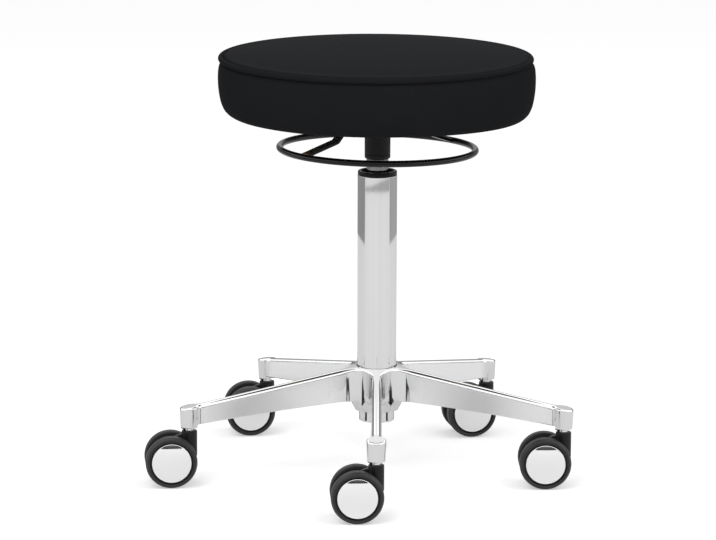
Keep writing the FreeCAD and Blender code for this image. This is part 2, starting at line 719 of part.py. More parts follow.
def gas_lift():
    groove = rod_foot_radius - dim.clip_groove
    keep(turned("piston_rod", [
        (0, clip_foot - dim.rod_tail),
        (rod_foot_radius, clip_foot - dim.rod_tail),
        (rod_foot_radius, clip_foot),
        (groove, clip_foot),
        (groove, clip_top),
        (rod_foot_radius, clip_top),
        (rod_foot_radius, rod_shoulder),
        (rod_radius, rod_shoulder),
        (rod_radius, piston_top),
        (0, piston_top),
    ]))
    clip_radius = rod_foot_radius + dim.clip_reach
    group("rod_clip_and_washer", [
        hollow_cylinder("rod_clip", groove, clip_radius, clip_foot, clip_top),
        hollow_cylinder("rod_washer", rod_foot_radius, clip_radius + dim.clip_reach, clip_top, washer_top),
    ])
    keep(hollow_cylinder("bump_stop", rod_radius, dim.bump_stop_radius,
                         rod_shoulder, rod_shoulder + dim.bump_stop_height))
    keep(hollow_cylinder("piston", rod_radius, cylinder_bore - dim.running_gap, piston_foot, piston_top))
    chamber_top = cone_top - dim.cylinder_head
    button_bore = button_radius + dim.running_gap
    keep(turned("gas_cylinder", [
        (cylinder_bore, cylinder_foot),
        (cylinder_radius, cylinder_foot),
        (cylinder_radius, socket_foot),
        (cone_radius(cone_top), cone_top),
        (button_bore, cone_top),
        (button_bore, chamber_top),
        (cylinder_bore, chamber_top),
    ]))
    keep(hollow_cylinder("rod_gland", rod_radius + dim.running_gap, cylinder_bore,
                         cylinder_foot, cylinder_foot + dim.gland_length))
    keep(turned("valve_button", [
        (0, cone_top - dim.button_depth),
        (button_radius, cone_top - dim.button_depth),
        (button_radius, button_top - dim.button_dome),
        (0, button_top, DOME),
    ]))


# Release: socket, channel, lever with its ring, and the pivot pin


def cone_socket():
    line_foot = socket_foot + dim.socket_line_height
    line_top = line_foot + dim.socket_line_width
    mouth = cone_radius(socket_foot)
    keep(turned("cone_socket", [
        (mouth, socket_foot),
        (mouth + dim.socket_land, socket_foot),
        (socket_radius, socket_foot + dim.socket_round, dim.socket_round_rise),
        (socket_radius, line_foot),
        (socket_radius - dim.socket_line_depth, line_foot),
        (socket_radius - dim.socket_line_depth, line_top),
        (socket_radius, line_top),
        (socket_radius, socket_top),
        (cone_radius(socket_top), socket_top),
    ]))


def lever_bracket():
    """Channel that hangs from the seat plate, welded round the socket and drilled for the pivot pin."""
    inner = dim.bracket_inner_width / 2
    outer = inner + dim.bracket_sheet
    web_foot = socket_top - dim.bracket_sheet
    body = new_body("lever_bracket")
    section = draw_path(new_sketch(body, "channel_section", "YZ_Plane"), [
        (-outer, web_foot),
        (outer, web_foot),
        (outer, plate_foot),
        (inner, plate_foot),
        (inner, socket_top),
        (-inner, socket_top),
        (-inner, plate_foot),
        (-outer, plate_foot),
    ])
    extrude(body, "Pad", section, "channel", dim.bracket_front, back=dim.bracket_back)
    seat = draw_circle(new_sketch(body, "socket_hole", "XY_Plane", socket_top), 0, 0, socket_radius)
    extrude(body, "Pocket", seat, "socket_hole_cut", dim.bracket_sheet)
    hole = draw_circle(new_sketch(body, "pin_hole", "XZ_Plane"), dim.pivot_offset, bar_middle,
                       dim.pivot_diameter / 2)
    cut_through(body, hole, "pin_hole_cut")
    keep(place(body, angle=lever_turn))
    pin = new_body("lever_pivot_pin")
    circle = draw_circle(new_sketch(pin, "pin_circle", "XZ_Plane"), dim.pivot_offset, bar_middle,
                         dim.pivot_diameter / 2)
    extrude(pin, "Pad", circle, "pin", 2 * (outer + dim.pivot_end), symmetric=True)
    keep(place(pin, angle=lever_turn))


def bend_points(before, corner, after, radius):
    """Where a bend of this radius leaves one straight and joins the next, and how far it bulges."""
    into = (corner[0].value - before[0].value, corner[1].value - before[1].value)
    out = (after[0].value - corner[0].value, after[1].value - corner[1].value)
    lengths = (math.hypot(*into), math.hypot(*out))
    turn = math.atan2(into[0] * out[1] - into[1] * out[0], into[0] * out[0] + into[1] * out[1])
    setback = radius * math.tan(abs(turn) / 2)
    start = tuple(c - setback * (d / lengths[0]) for c, d in zip(corner, into))
    finish = tuple(c + setback * (d / lengths[1]) for c, d in zip(corner, out))
    rise = radius * (1 - math.cos(turn / 2)) * math.copysign(1, turn)
    return start, finish + (rise,)


def release_lever():
    """Flat bar bent down to the ring on both sides, with an eye for the pivot pin, and the round ring."""
    ring_rod = dim.ring_rod_diameter / 2
    middle = (as_size(0), bar_middle)
    shoulder = (dim.bar_shoulder, bar_middle)
    elbow = (dim.bar_elbow_reach, bar_middle - dim.bar_elbow_drop)
    tip = (dim.ring_radius - ring_rod / 2, ring_level)
    path = [middle]
    path += bend_points(middle, shoulder, elbow, dim.bar_bend_radius)
    path += bend_points(shoulder, elbow, tip, dim.bar_bend_radius)
    path.append(tip)
    body = new_body("release_bar")
    spine = draw_path(new_sketch(body, "bar_path", "XZ_Plane"), path, closed=False)
    half_width = dim.bar_width / 2
    section = draw_path(new_sketch(body, "bar_section", "YZ_Plane"), [
        (-half_width, bar_foot),
        (half_width, bar_foot),
        (half_width, bar_foot + dim.bar_thickness),
        (-half_width, bar_foot + dim.bar_thickness),
    ])
    pipe = body.newObject("PartDesign::AdditivePipe", "bar_half")
    pipe.Profile = section
    pipe.Spine = spine
    doc.recompute()
    mirror = body.newObject("PartDesign::Mirrored", "bar_both_sides")
    mirror.Originals = [pipe]
    mirror.MirrorPlane = (origin_plane(body, "YZ_Plane"), [""])
    body.Tip = mirror
    eye = draw_circle(new_sketch(body, "eye_circle", "XZ_Plane"), dim.pivot_offset, bar_middle,
                      dim.knuckle_diameter / 2)
    extrude(body, "Pad", eye, "eye", dim.bar_width, symmetric=True)
    hole = draw_circle(new_sketch(body, "eye_hole", "XZ_Plane"), dim.pivot_offset, bar_middle,
                       dim.pivot_diameter / 2 + dim.running_gap)
    cut_through(body, hole, "eye_hole_cut")
    cope = draw_circle(new_sketch(body, "ring_seat", "XZ_Plane"), dim.ring_radius, ring_level, ring_rod)
    turn_feature(body, "Groove", cope, "ring_seat_cut")
    keep(place(body, angle=lever_turn))
    ring = doc.addObject("Part::Torus", "release_ring")
    ring.Label = "release_ring"
    ring.setExpression("Radius1", dim.ring_radius.text)
    ring.setExpression("Radius2", ring_rod.text)
    keep(place(ring, z=ring_level, angle=lever_turn))


# Seat: plate, board with its fasteners, foam and the sewn cover


def square_corners(offset):
    return [(sx * offset, sy * offset) for sx, sy in ((1, 1), (-1, 1), (-1, -1), (1, -1))]


def seat_plate():
    half = dim.plate_side / 2
    flat = half - dim.plate_corner
    rise = dim.plate_corner * (1 - math.sqrt(0.5))
    body = new_body("seat_plate")
    outline = draw_path(new_sketch(body, "plate_outline", "XY_Plane", plate_foot), [
        (flat, -half),
        (half, -flat, rise),
        (half, flat),
        (flat, half, rise),
        (-flat, half),
        (-half, flat, rise),
        (-half, -flat),
        (-flat, -half, rise),
    ])
    for across, up in square_corners(screw_offset):
        draw_circle(outline, across, up, screw_radius + dim.screw_hole_play)
    extrude(body, "Pad", outline, "plate", dim.plate_sheet)
    return keep(place(body, angle=lever_turn))


def seat_board():
    board = turned("seat_board", [
        (0, board_foot),
        (dim.board_radius, board_foot),
        (dim.board_radius, board_top),
        (0, board_top),
    ])
    barrels = new_sketch(board, "barrel_holes", "XY_Plane", board_top)
    flanges = new_sketch(board, "flange_recesses", "XY_Plane", board_top)
    for across, up in square_corners(screw_offset):
        draw_circle(barrels, across, up, dim.nut_barrel_diameter / 2)
        draw_circle(flanges, across, up, dim.nut_flange_diameter / 2)
    extrude(board, "Pocket", barrels, "barrel_cut", dim.board_thickness)
    extrude(board, "Pocket", flanges, "flange_cut", dim.nut_flange_height)
    return keep(place(board, angle=lever_turn))


def at_screws(label, makers):
    """The given fasteners at each corner of the screw pattern, kept as one group."""
    copies = []
    for number, (across, up) in enumerate(square_corners(screw_offset)):
        x = across * cosine(lever_turn) - up * sine(lever_turn)
        y = across * sine(lever_turn) + up * cosine(lever_turn)
        for make in makers:
            copies.append(place(make("%s_%d" % (make.__name__, number)), x, y))
    group(label, copies)


def seat_fasteners():
    flange_foot = board_top - dim.nut_flange_height
    barrel_foot = flange_foot - dim.nut_barrel_length
    washer_foot = plate_foot - dim.screw_washer_height
    head_foot = washer_foot - dim.screw_head_height

    def t_nut(label):
        return turned(label, [
            (screw_radius, barrel_foot),
            (dim.nut_barrel_diameter / 2, barrel_foot),
            (dim.nut_barrel_diameter / 2, flange_foot),
            (dim.nut_flange_diameter / 2, flange_foot),
            (dim.nut_flange_diameter / 2, board_top),
            (screw_radius, board_top),
        ])

    def seat_screw(label):
        return turned(label, [
            (0, head_foot),
            (dim.screw_head_diameter / 2, head_foot),
            (dim.screw_head_diameter / 2, washer_foot),
            (screw_radius, washer_foot),
            (screw_radius, flange_foot),
            (0, flange_foot),
        ])

    def seat_washer(label):
        return hollow_cylinder(label, screw_radius, dim.screw_washer_diameter / 2, washer_foot, plate_foot)

    at_screws("seat_t_nuts", [t_nut])
    at_screws("seat_screws", [seat_screw, seat_washer])


def cover_corners(depth):
    """Corners of the seat's section, from the middle of the top to the underside.

    Depth is how far inside the cover's outer face the section lies. Returns the top panel's corners, as
    far as the seam, and the side band's, from below the seam to the flat underside.
    """
    outside = board_foot - dim.cover_thickness
    piping_level = outside + dim.piping_height
    piping_ring = dim.seat_radius - dim.piping_inset
    crown_top = piping_level + dim.crown_height
    top = [
        (0, crown_top - depth),
        (piping_ring - dim.roll_width, crown_top - dim.crown_fall - depth, DOME),
        (piping_ring - dim.seam_inset - depth, piping_level - dim.seam_drop - depth, -dim.roll_rise),
    ]
    band = [
        (dim.seat_radius - dim.tuck_inset - depth, outside + dim.tuck_height - depth),
        (dim.seat_radius - depth, outside + dim.band_widest_height, -dim.tuck_rise),
        (dim.seat_radius - dim.turn_inset - depth, outside + dim.turn_height, -dim.band_rise),
        (dim.seat_radius - dim.foot_inset, outside + depth, -dim.turn_rise),
    ]
    return top, band


def reversed_path(corners):
    """The same sides walked the other way, so that each rise moves to the corner it now arrives at."""
    back = [corners[-1][:2]]
    for after, before in zip(corners[:0:-1], corners[-2::-1]):
        rise = tuple(size if size == DOME else -size for size in after[2:])
        back.append(before[:2] + rise)
    return back


def seat_cushion():
    top_out, band_out = cover_corners(as_size(0))
    top_in, band_in = cover_corners(dim.cover_thickness)
    hem = dim.seat_radius - dim.foot_inset - dim.hem_width
    outside = board_foot - dim.cover_thickness
    piping_level = outside + dim.piping_height
    piping_ring = dim.seat_radius - dim.piping_inset
    panel = turned("seat_top_panel", top_out + reversed_path(top_in))
    band = turned("seat_side_band", [top_out[-1][:2]] + band_out + [
        (hem, outside),
        (hem, board_foot),
    ] + reversed_path(band_in) + [top_in[-1][:2]])
    for body in (panel, band):
        seat = draw_circle(new_sketch(body, body.Label + "_welt", "XZ_Plane"),
                           piping_ring, piping_level, dim.piping_radius)
        turn_feature(body, "Groove", seat, body.Label + "_welt_cut")
        keep(body)
    piping = doc.addObject("Part::Torus", "seat_piping")
    piping.Label = "seat_piping"
    piping.setExpression("Radius1", piping_ring.text)
    piping.setExpression("Radius2", dim.piping_radius.text)
    keep(place(piping, z=piping_level))
    keep(turned("seat_foam", top_in + band_in + [
        (dim.board_radius, board_foot),
        (dim.board_radius, board_top),
        (0, board_top),
    ]))
    keep(hollow_cylinder("seat_dust_cover", dim.dust_cover_inner_radius, hem,
                         board_foot - dim.dust_cover_thickness, board_foot))


# Castors: each is drawn with its stem axis at the local origin and its wheels trailing to -X


def castor_fork(label):
    top = boss_foot - dim.stem_collar_height - dim.side_gap
    foot = top - dim.housing_height
    half = dim.housing_diameter / 2
    shoulder = top - dim.fork_shoulder
    body = new_body(label)
    web = draw_path(new_sketch(body, label + "_web_outline", "XZ_Plane"), [
        (0, foot),
        (half, foot + half),
        (half, shoulder),
        (-half, shoulder),
        (-dim.castor_trail, axle_level + dim.fork_web_radius, -dim.fork_web_bulge),
        (-dim.castor_trail - dim.fork_web_radius, axle_level,
         -dim.fork_web_radius * (1 - math.sqrt(0.5))),
        (-dim.castor_trail, axle_level - dim.fork_boss_diameter / 2),
    ])
    extrude(body, "Pad", web, label + "_web", dim.fork_web, symmetric=True)
    housing = draw_circle(new_sketch(body, label + "_housing_circle", "XY_Plane", foot), 0, 0, half)
    extrude(body, "Pad", housing, label + "_housing", dim.housing_height)
    boss = draw_circle(new_sketch(body, label + "_boss_circle", "XZ_Plane"), -dim.castor_trail, axle_level,
                       dim.fork_boss_diameter / 2)
    extrude(body, "Pad", boss, label + "_boss", dim.wheel_gap - 2 * dim.side_gap, symmetric=True)
    bore = draw_circle(new_sketch(body, label + "_stem_bore", "XY_Plane", top), 0, 0,
                       dim.stem_lower_diameter / 2 + dim.running_gap)
    extrude(body, "Pocket", bore, label + "_stem_bore_cut", dim.stem_lower_length + dim.side_gap)
    hole = draw_circle(new_sketch(body, label + "_axle_hole", "XZ_Plane"), -dim.castor_trail, axle_level,
                       dim.axle_diameter / 2)
    cut_through(body, hole, label + "_axle_hole_cut")
    return keep(body)


def wheel_faces():
    """Distances from the castor's middle plane: inner face, hub's outer end, outer face."""
    inner = dim.wheel_gap / 2
    outer = dim.castor_width / 2
    hub_end = outer - dim.cap_inset - dim.wheel_wall
    return inner, hub_end, outer


def castor_wheel(label):
    """Rim with its tread moulded on, turned about the axle, outer face towards +Y."""
    inner, hub_end, outer = wheel_faces()
    radius = dim.wheel_diameter / 2
    bore = dim.axle_diameter / 2 + dim.running_gap
    recess = dim.cap_diameter / 2 + dim.cap_seat_gap
    rim = radius - dim.tread_shoulder - dim.tread_edge
    return keep(turned(label, [
        (bore, inner),
        (dim.wheel_hub_radius, inner),
        (dim.wheel_hub_radius, hub_end - dim.wheel_wall),
        (rim, hub_end - dim.wheel_wall),
        (rim, inner),
        (radius - dim.tread_edge, inner),
        (radius, inner + dim.tread_edge),
        (radius, inner + dim.tread_edge + dim.tread_flat),
        (radius - dim.tread_shoulder, outer, dim.shoulder_rise),
        (recess, outer),
        (recess, hub_end),
        (bore, hub_end),
    ], "XY_Plane"))


def castor_cap(label):
    """Domed chromed cap with a skirt that stands on the wheel's recess."""
    _, hub_end, outer = wheel_faces()
    radius = dim.cap_diameter / 2
    inside = radius - dim.cap_sheet
    rim = outer - dim.cap_inset
    return keep(turned(label, [
        (inside, hub_end),
        (radius, hub_end),
        (radius, rim),
        (0, rim + dim.cap_dome, DOME),
        (0, rim + dim.cap_dome - dim.cap_sheet),
        (inside, rim - dim.cap_sheet, DOME),
    ], "XY_Plane"))


def castor_axle(label):
    """Plain pin with a riveted head outside each wheel hub."""
    _, hub_end, _ = wheel_faces()
    radius = dim.axle_diameter / 2
    head = dim.axle_head_diameter / 2
    head_start = hub_end + dim.side_gap
    head_end = head_start + dim.axle_head_height
    return keep(turned(label, [
        (0, -head_end),
        (head, -head_end),
        (head, -head_start),
        (radius, -head_start),
        (radius, head_start),
        (head, head_start),
        (head, head_end),
        (0, head_end),
    ], "XY_Plane"))


def castor_stem(label):
    lower = dim.stem_lower_diameter / 2
    upper = dim.stem_upper_diameter / 2
    collar = dim.stem_collar_diameter / 2
    collar_foot_level = boss_foot - dim.stem_collar_height
    top = boss_foot + dim.stem_upper_length
    ring_top = top - dim.grip_ring_drop
    groove = upper - dim.grip_ring_depth
    return turned(label, [
        (0, collar_foot_level - dim.stem_lower_length),
        (lower, collar_foot_level - dim.stem_lower_length),
        (lower, collar_foot_level),
        (collar, collar_foot_level),
        (collar, boss_foot),
        (upper, boss_foot),
        (upper, ring_top - dim.grip_ring_height),
        (groove, ring_top - dim.grip_ring_height),
        (groove, ring_top),
        (upper, ring_top),
        (upper, top),
        (0, top),
    ])


def grip_ring(label):
    upper = dim.stem_upper_diameter / 2
    ring_top = boss_foot + dim.stem_upper_length - dim.grip_ring_drop
    groove = upper - dim.grip_ring_depth
    return turned(label, [
        (groove, ring_top - dim.grip_ring_height),
        (upper, ring_top - dim.grip_ring_height),
        (upper, ring_top),
        (groove, ring_top),
    ])


def castors():
    stems = []
    rings = []
    for name, number, yaw_alias, _ in CASTORS:
        yaw = getattr(dim, yaw_alias)
        azimuth = FRONT_AZIMUTH + number * arm_step
        x = dim.stem_circle_radius * cosine(azimuth)
        y = dim.stem_circle_radius * sine(azimuth)
        axle_x = x - dim.castor_trail * cosine(yaw)
        axle_y = y - dim.castor_trail * sine(yaw)
        place(castor_fork(name + "_castor_fork"), x, y, angle=yaw)
        place(castor_axle(name + "_castor_axle"), axle_x, axle_y, axle_level, yaw)
        for side, half_turn in (("near", FULL_TURN / 2), ("far", 0)):
            facing = yaw + half_turn
            place(castor_wheel("%s_castor_wheel_%s" % (name, side)), axle_x, axle_y, axle_level, facing)
            place(castor_cap("%s_castor_cap_%s" % (name, side)), axle_x, axle_y, axle_level, facing)
        stems.append(place(castor_stem(name + "_stem"), x, y))
        rings.append(place(grip_ring(name + "_grip_ring"), x, y))
    group("castor_stems", stems + rings)


def check_document():
    """Stop before anything is written if a feature failed or a sub-part has no sound solid."""
    doc.recompute()
    for item in doc.Objects:
        if "Invalid" in item.State or "Error" in item.State:
            raise RuntimeError("%s could not be built: %s" % (item.Label, item.State))
    for item in sub_parts:
        if item.Shape.isNull() or not item.Shape.isValid() or not item.Shape.Solids:
            raise RuntimeError("%s has no sound solid" % item.Label)


def write_parts():
    os.makedirs("parts", exist_ok=True)
    for item in sub_parts:
        item.Shape.exportStep("parts/%s.step" % item.Label)
        print("%-32s %2d solids %12.1f mm3" % (item.Label, len(item.Shape.Solids), item.Shape.Volume))


star_base()
column_tube()
column_fittings()
thrust_bearing()
gas_lift()
cone_socket()
lever_bracket()
release_lever()
seat_plate()
seat_board()
seat_fasteners()
seat_cushion()
castors()
check_document()
write_parts()
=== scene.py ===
"""Dresses the office stool: polished casting, chromed column, castors, release ring and padded seat."""

import json
import math

import bmesh
import bpy
import numpy as np
from bpy.props import FloatProperty, FloatVectorProperty, PointerProperty
from bpy.types import Operator, Panel, PropertyGroup
from mathutils import Euler, Matrix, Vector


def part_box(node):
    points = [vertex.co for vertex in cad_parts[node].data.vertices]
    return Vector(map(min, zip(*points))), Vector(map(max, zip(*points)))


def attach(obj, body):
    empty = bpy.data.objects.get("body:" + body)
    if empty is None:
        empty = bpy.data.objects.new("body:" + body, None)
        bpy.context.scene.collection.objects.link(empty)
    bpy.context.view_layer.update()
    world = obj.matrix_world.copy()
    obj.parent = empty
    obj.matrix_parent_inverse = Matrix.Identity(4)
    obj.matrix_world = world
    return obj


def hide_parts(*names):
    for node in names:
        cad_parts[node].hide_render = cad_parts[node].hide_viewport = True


bl_info = {
    "name": "Office stool",
    "version": (1, 0, 0),
    "blender": (4, 5, 0),
    "location": "View3D > Sidebar > Stool",
    "description": "Surfaces and finishes of a height-adjustable office stool",
    "category": "Object",
}

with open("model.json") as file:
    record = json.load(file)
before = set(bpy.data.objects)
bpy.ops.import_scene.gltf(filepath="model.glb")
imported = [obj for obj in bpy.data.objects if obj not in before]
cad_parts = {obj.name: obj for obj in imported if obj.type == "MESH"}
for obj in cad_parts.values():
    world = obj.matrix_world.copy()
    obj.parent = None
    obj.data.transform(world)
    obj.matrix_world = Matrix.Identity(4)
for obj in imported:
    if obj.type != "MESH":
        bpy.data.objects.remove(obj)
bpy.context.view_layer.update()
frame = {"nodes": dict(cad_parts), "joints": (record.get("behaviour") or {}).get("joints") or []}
JOINTS = {joint["name"]: joint for joint in frame["joints"]}
SWIVEL = "_castor_swivel"
CASTORS = [name[:-len(SWIVEL)] for name in JOINTS if name.endswith(SWIVEL)]

MM = 0.001
X_AXIS, Y_AXIS, UP = np.eye(3)
ORIGIN = np.zeros(3)
TINY = 1e-9
WHITE = (1.0, 1.0, 1.0, 1.0)
BLACK = (0.0, 0.0, 0.0, 1.0)

# Fits that pieces share: the gas lift's cone in its socket, a stem in its boss, an axle in its wheels
CONE_SLOPE = math.tan(math.radians(1.4378))
BOSS_HEIGHT = 22 * MM
AXLE_HOLE = 4.1 * MM


# What the frame says about the pieces


def heights_of(node):
    """Lowest and highest height of a node."""
    low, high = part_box(node)
    return low.z, high.z


def foot_of(node):
    return heights_of(node)[0]


def top_of(node):
    return heights_of(node)[1]


def middle_of(node):
    return sum(heights_of(node)) / 2


def radius_of(node):
    """Half of a node's reach across X, for pieces that are round about the column."""
    low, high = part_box(node)
    return (high.x - low.x) / 2


def place_of(joint):
    return np.array(JOINTS[joint]["pos_m"], float)


def axis_of(joint):
    return unit(np.array(JOINTS[joint]["axis"], float))


def stem_of(castor):
    """A castor stem's place at floor level."""
    return place_of(castor + SWIVEL) * [1, 1, 0]


def bearing_of(castor):
    """Angle from +X to a castor, seen from the column."""
    x, y, _ = stem_of(castor)
    return math.atan2(y, x)


def boss_foot():
    """Height of the castor bosses' underside."""
    return top_of("castor_stems") - BOSS_HEIGHT


def board_middle():
    """A height inside the seat board."""
    low, high = heights_of("seat_board")
    return low + (high - low) / 3


# Sizes and colours that a user would change


def length(name, description, millimetres):
    return FloatProperty(name=name, description=description, default=millimetres * MM,
                         min=0.0, unit="LENGTH", subtype="DISTANCE", precision=5)


def angle(name, description, degrees):
    return FloatProperty(name=name, description=description, default=math.radians(degrees),
                         unit="ROTATION", subtype="ANGLE")


def colour(name, description, red, green, blue):
    return FloatVectorProperty(name=name, description=description, default=(red, green, blue),
                               size=3, min=0.0, max=1.0, subtype="COLOR")


class StoolBaseSizes(PropertyGroup):
    arm_width: length("Arm width", "Width of an arm over its sides", 12.5)
    arm_fall: angle("Arm fall", "Slope of an arm's top", 9.4)
    arm_edge: length("Arm edge", "Rounding along an arm's top", 5.2)
    arm_skin: length("Arm skin", "Metal over an arm's hollow", 4.5)
    arm_side_wall: length("Arm side wall", "Walls beside an arm's hollow", 2.6)
    arm_tip_depth: length("Arm tip depth", "Arm's depth where it meets the boss", 25.2)
    arm_arch: length("Arm arch", "Rise of an arm's arched underside", 1.2)
    arm_root_depth: length("Arm root depth", "Depth of an arm at the hub", 48.3)
    hub_waist: length("Hub waist", "Hub's radius midway between two arms", 31.0)
    hub_edge: length("Hub edge", "Rounding of the top edge midway between two arms", 1.8)
    hub_mouth: length("Hub mouth", "Gap between the hub's top and the tube", 0.8)
    hub_turn_in: length("Hub turn-in", "How far the hub draws in at its foot", 4.6)
    hub_turn_height: length("Hub turn height", "Height over which the hub draws in", 9.0)
    hub_foot_radius: length("Hub foot radius", "Foot of the hub under an arm", 27.9)
    hub_lobe: length("Hub lobe", "How far the hub's foot draws in between two arms", 2.8)
    hub_floor: length("Hub floor", "Metal under the tube's bottom plate", 1.6)
    boss_radius: length("Boss radius", "Castor boss at its top", 12.2)
    boss_draft: length("Boss draft", "How far the boss draws in at its foot", 1.2)
    boss_edge: length("Boss edge", "Rounding of the boss's top", 2.6)
    boss_fillet: length("Boss fillet", "Hollow rounding from arm to boss", 6.5)
    lower_edge: length("Lower edge", "Rounding of the casting's lower edges", 0.9)
    collar_radius: length("Collar radius", "Slotted collar under the hub", 22.5)
    collar_bore: length("Collar bore", "Radius inside the slotted collar", 18.0)
    collar_drop: length("Collar drop", "How far the slotted collar stands below its solid", 1.7)
    slot_width: length("Slot width", "Slots in the collar", 2.6)


class StoolCastorSizes(PropertyGroup):
    tread_edge: length("Tread edge", "Bevel on the tread's inner edge", 1.6)
    shoulder: length("Shoulder", "Drop of the tyre's outer shoulder", 2.4)
    face_dish: length("Face dish", "How far the tyre's face falls towards the cap", 0.8)
    groove_width: length("Groove width", "Black groove between tyre and cap", 2.0)
    groove_depth: length("Groove depth", "Depth of that groove", 5.0)
    cap_dome: length("Cap dome", "Crown of the chromed cap", 1.8)
    cap_edge: length("Cap edge", "Rolled rim of the cap", 0.7)
    housing_radius: length("Housing radius", "Stem housing of the fork", 9.75)
    housing_drop: length("Housing drop", "Rim of the housing below its highest point", 1.2)
    web_thickness: length("Web thickness", "Fork's web between the wheels", 9.0)
    web_radius: length("Web radius", "Round part of the web about the axle", 26.0)
    web_edge: length("Web edge", "Rounding of the web's edges", 1.2)
    stem_radius: length("Stem radius", "Bright neck of the castor stem", 5.7)


class StoolSeatSizes(PropertyGroup):
    shrink: length("Shrink", "How much smaller the cushion is before it swells", 1.6)
    swell_limit: length("Swell limit", "Most that a point may move as the cushion swells", 3.2)
    voxel: length("Voxel", "Grid of the cushion before it swells", 5.0)
    seam_reach: length("Seam reach", "How far from the piping the seam holds the cover in shape", 16.0)
    seam_depth: length("Seam depth", "Crease under the piping", 1.2)
    seam_width: length("Seam width", "Width of that crease", 3.5)
    piping_radius: length("Piping radius", "Piping cord in its welt", 3.3)
    piping_tuck: length("Piping tuck", "How far the piping is drawn into the seam", 0.8)
    piping_shift: length("Piping shift", "How far the piping sits to the left of the cover", 1.2)
    band_swell: length("Band swell", "How far the side band stands out past its solid", 1.4)
    cover_shift: length("Cover shift", "How far the sewn cover sits to the left of the board", 1.2)
    cover_lean: angle("Cover lean", "Slight fall of the cover towards the right", 0.1)
    cover_sag: length("Cover sag", "How much lower the band hangs at its right", 3.9)
    ring_tilt: angle("Ring tilt", "How far the release ring hangs down at its right rear", 1.15)
    ring_sink: length("Ring sink", "How far the release ring hangs below its solid", 1.8)


class StoolColours(PropertyGroup):
    leather: colour("Leather", "Black faux leather", 0.0155, 0.0160, 0.0172)
    casting: colour("Casting", "Polished aluminium", 0.74, 0.74, 0.745)
    chrome: colour("Chrome", "Column tube", 0.75, 0.75, 0.755)
    cap: colour("Cap", "Chromed wheel caps", 0.93, 0.93, 0.935)
    silver: colour("Silver", "Gas lift's cylinder", 0.40, 0.40, 0.405)
    black: colour("Black", "Black plastic and paint", 0.008, 0.008, 0.0085)
    tyre: colour("Tyre", "Grey of the castor wheels", 0.027, 0.027, 0.0275)
    floor: colour("Floor", "Pale studio floor", 0.90, 0.90, 0.90)


# Shapes


def unit(vectors):
    """Vectors scaled to a length of one."""
    return vectors / np.linalg.norm(vectors, axis=-1, keepdims=True)


def off_axis(points):
    """Distance of points from the column's axis."""
    return np.hypot(points[:, 0], points[:, 1])


def rounded(corners, radii, steps=6, closed=False):
    """Polyline with round corners.

    At a corner with directions d1 and d2 to its neighbours and angle a between them, the arc's centre lies
    at radius / sin(a / 2) along d1 + d2, and its points turn evenly from the first tangent point to the
    second.
    """
    corners = np.asarray(corners, float)
    radii = np.broadcast_to(np.asarray(radii, float), len(corners)).copy()
    before, after = np.roll(corners, 1, axis=0), np.roll(corners, -1, axis=0)
    if not closed:
        radii[[0, -1]] = 0
        before[0] = 2 * corners[0] - corners[1]
        after[-1] = 2 * corners[-1] - corners[-2]
    back, ahead = unit(before - corners), unit(after - corners)
    opening = np.arccos(np.clip((back * ahead).sum(1), -1, 1))
    turning = (np.pi - opening)[:, None, None]
    setback = (radii / np.maximum(np.tan(opening / 2), TINY))[:, None]
    middle = back + ahead
    middle /= np.maximum(np.linalg.norm(middle, axis=1, keepdims=True), TINY)
    centre = corners + middle * (radii / np.maximum(np.sin(opening / 2), TINY))[:, None]
    start = (corners + back * setback - centre)[:, None]
    end = (corners + ahead * setback - centre)[:, None]
    share = np.linspace(0, 1, steps)[:, None]
    bend = np.sin((1 - share) * turning) * start + np.sin(share * turning) * end
    points = (centre[:, None] + bend / np.maximum(np.sin(turning), TINY)).reshape(-1, 2)
    apart = np.linalg.norm(points - np.roll(points, 1, axis=0), axis=1) > 1e-8
    apart[0] |= not closed
    return points[apart]


def rectangle(left, right, low, high, radii, steps=6):
    """Closed rectangle with round corners, from its lower left corner."""
    return rounded([(left, low), (right, low), (right, high), (left, high)], radii, steps, closed=True)


def arc(centre, radius, start, end, count, endpoint=True):
    """Points at even angles on a circle, angles in degrees."""
    turn = np.radians(np.linspace(start, end, count, endpoint=endpoint))
    return np.asarray(centre) + radius * np.stack([np.cos(turn), np.sin(turn)], axis=1)


def bow(start, end, rise, count):
    """Points along a circular arc from start towards end that bulges by rise to the left of the line."""
    start, end = np.asarray(start, float), np.asarray(end, float)
    half = np.linalg.norm(end - start) / 2
    along = (end - start) / (2 * half)
    left = np.array([-along[1], along[0]])
    radius = (half ** 2 + rise ** 2) / (2 * rise)
    reach = np.arcsin(half / radius)
    turn = np.linspace(-reach, reach, count, endpoint=False)[:, None]
    bulge = radius * np.cos(turn) - radius + rise
    return (start + end) / 2 + left * bulge + along * radius * np.sin(turn)


def crowned(top, half, rise, reach):
    """Spherical crown, as (radius, height): its height at radius r is top - R + sqrt(R^2 - r^2).

    The sphere's radius R is (half^2 + rise^2) / (2 rise), for a crown that rises by rise over half its width.
    """
    sphere = (half ** 2 + rise ** 2) / (2 * rise)
    return np.column_stack([reach, top - sphere + np.sqrt(sphere ** 2 - reach ** 2)])


def grid_shell(points, round_rows=False, round_columns=False, capped=False):
    """A grid of points as (vertices, faces).

    A round direction joins its last line to its first, and caps close the two ends of the other one.
    """
    rows, columns = points.shape[:2]
    number = np.arange(rows * columns).reshape(rows, columns)
    below = np.roll(number, -1, axis=0)
    quads = np.stack([number, np.roll(number, -1, axis=1), np.roll(below, -1, axis=1), below], axis=-1)
    quads = quads[:rows if round_rows else rows - 1, :columns if round_columns else columns - 1]
    faces = quads.reshape(-1, 4).tolist()
    if capped:
        ends = (number[0, ::-1], number[-1]) if round_columns else (number[:, 0], number[::-1, -1])
        faces += [end.tolist() for end in ends]
    return points.reshape(-1, 3), faces


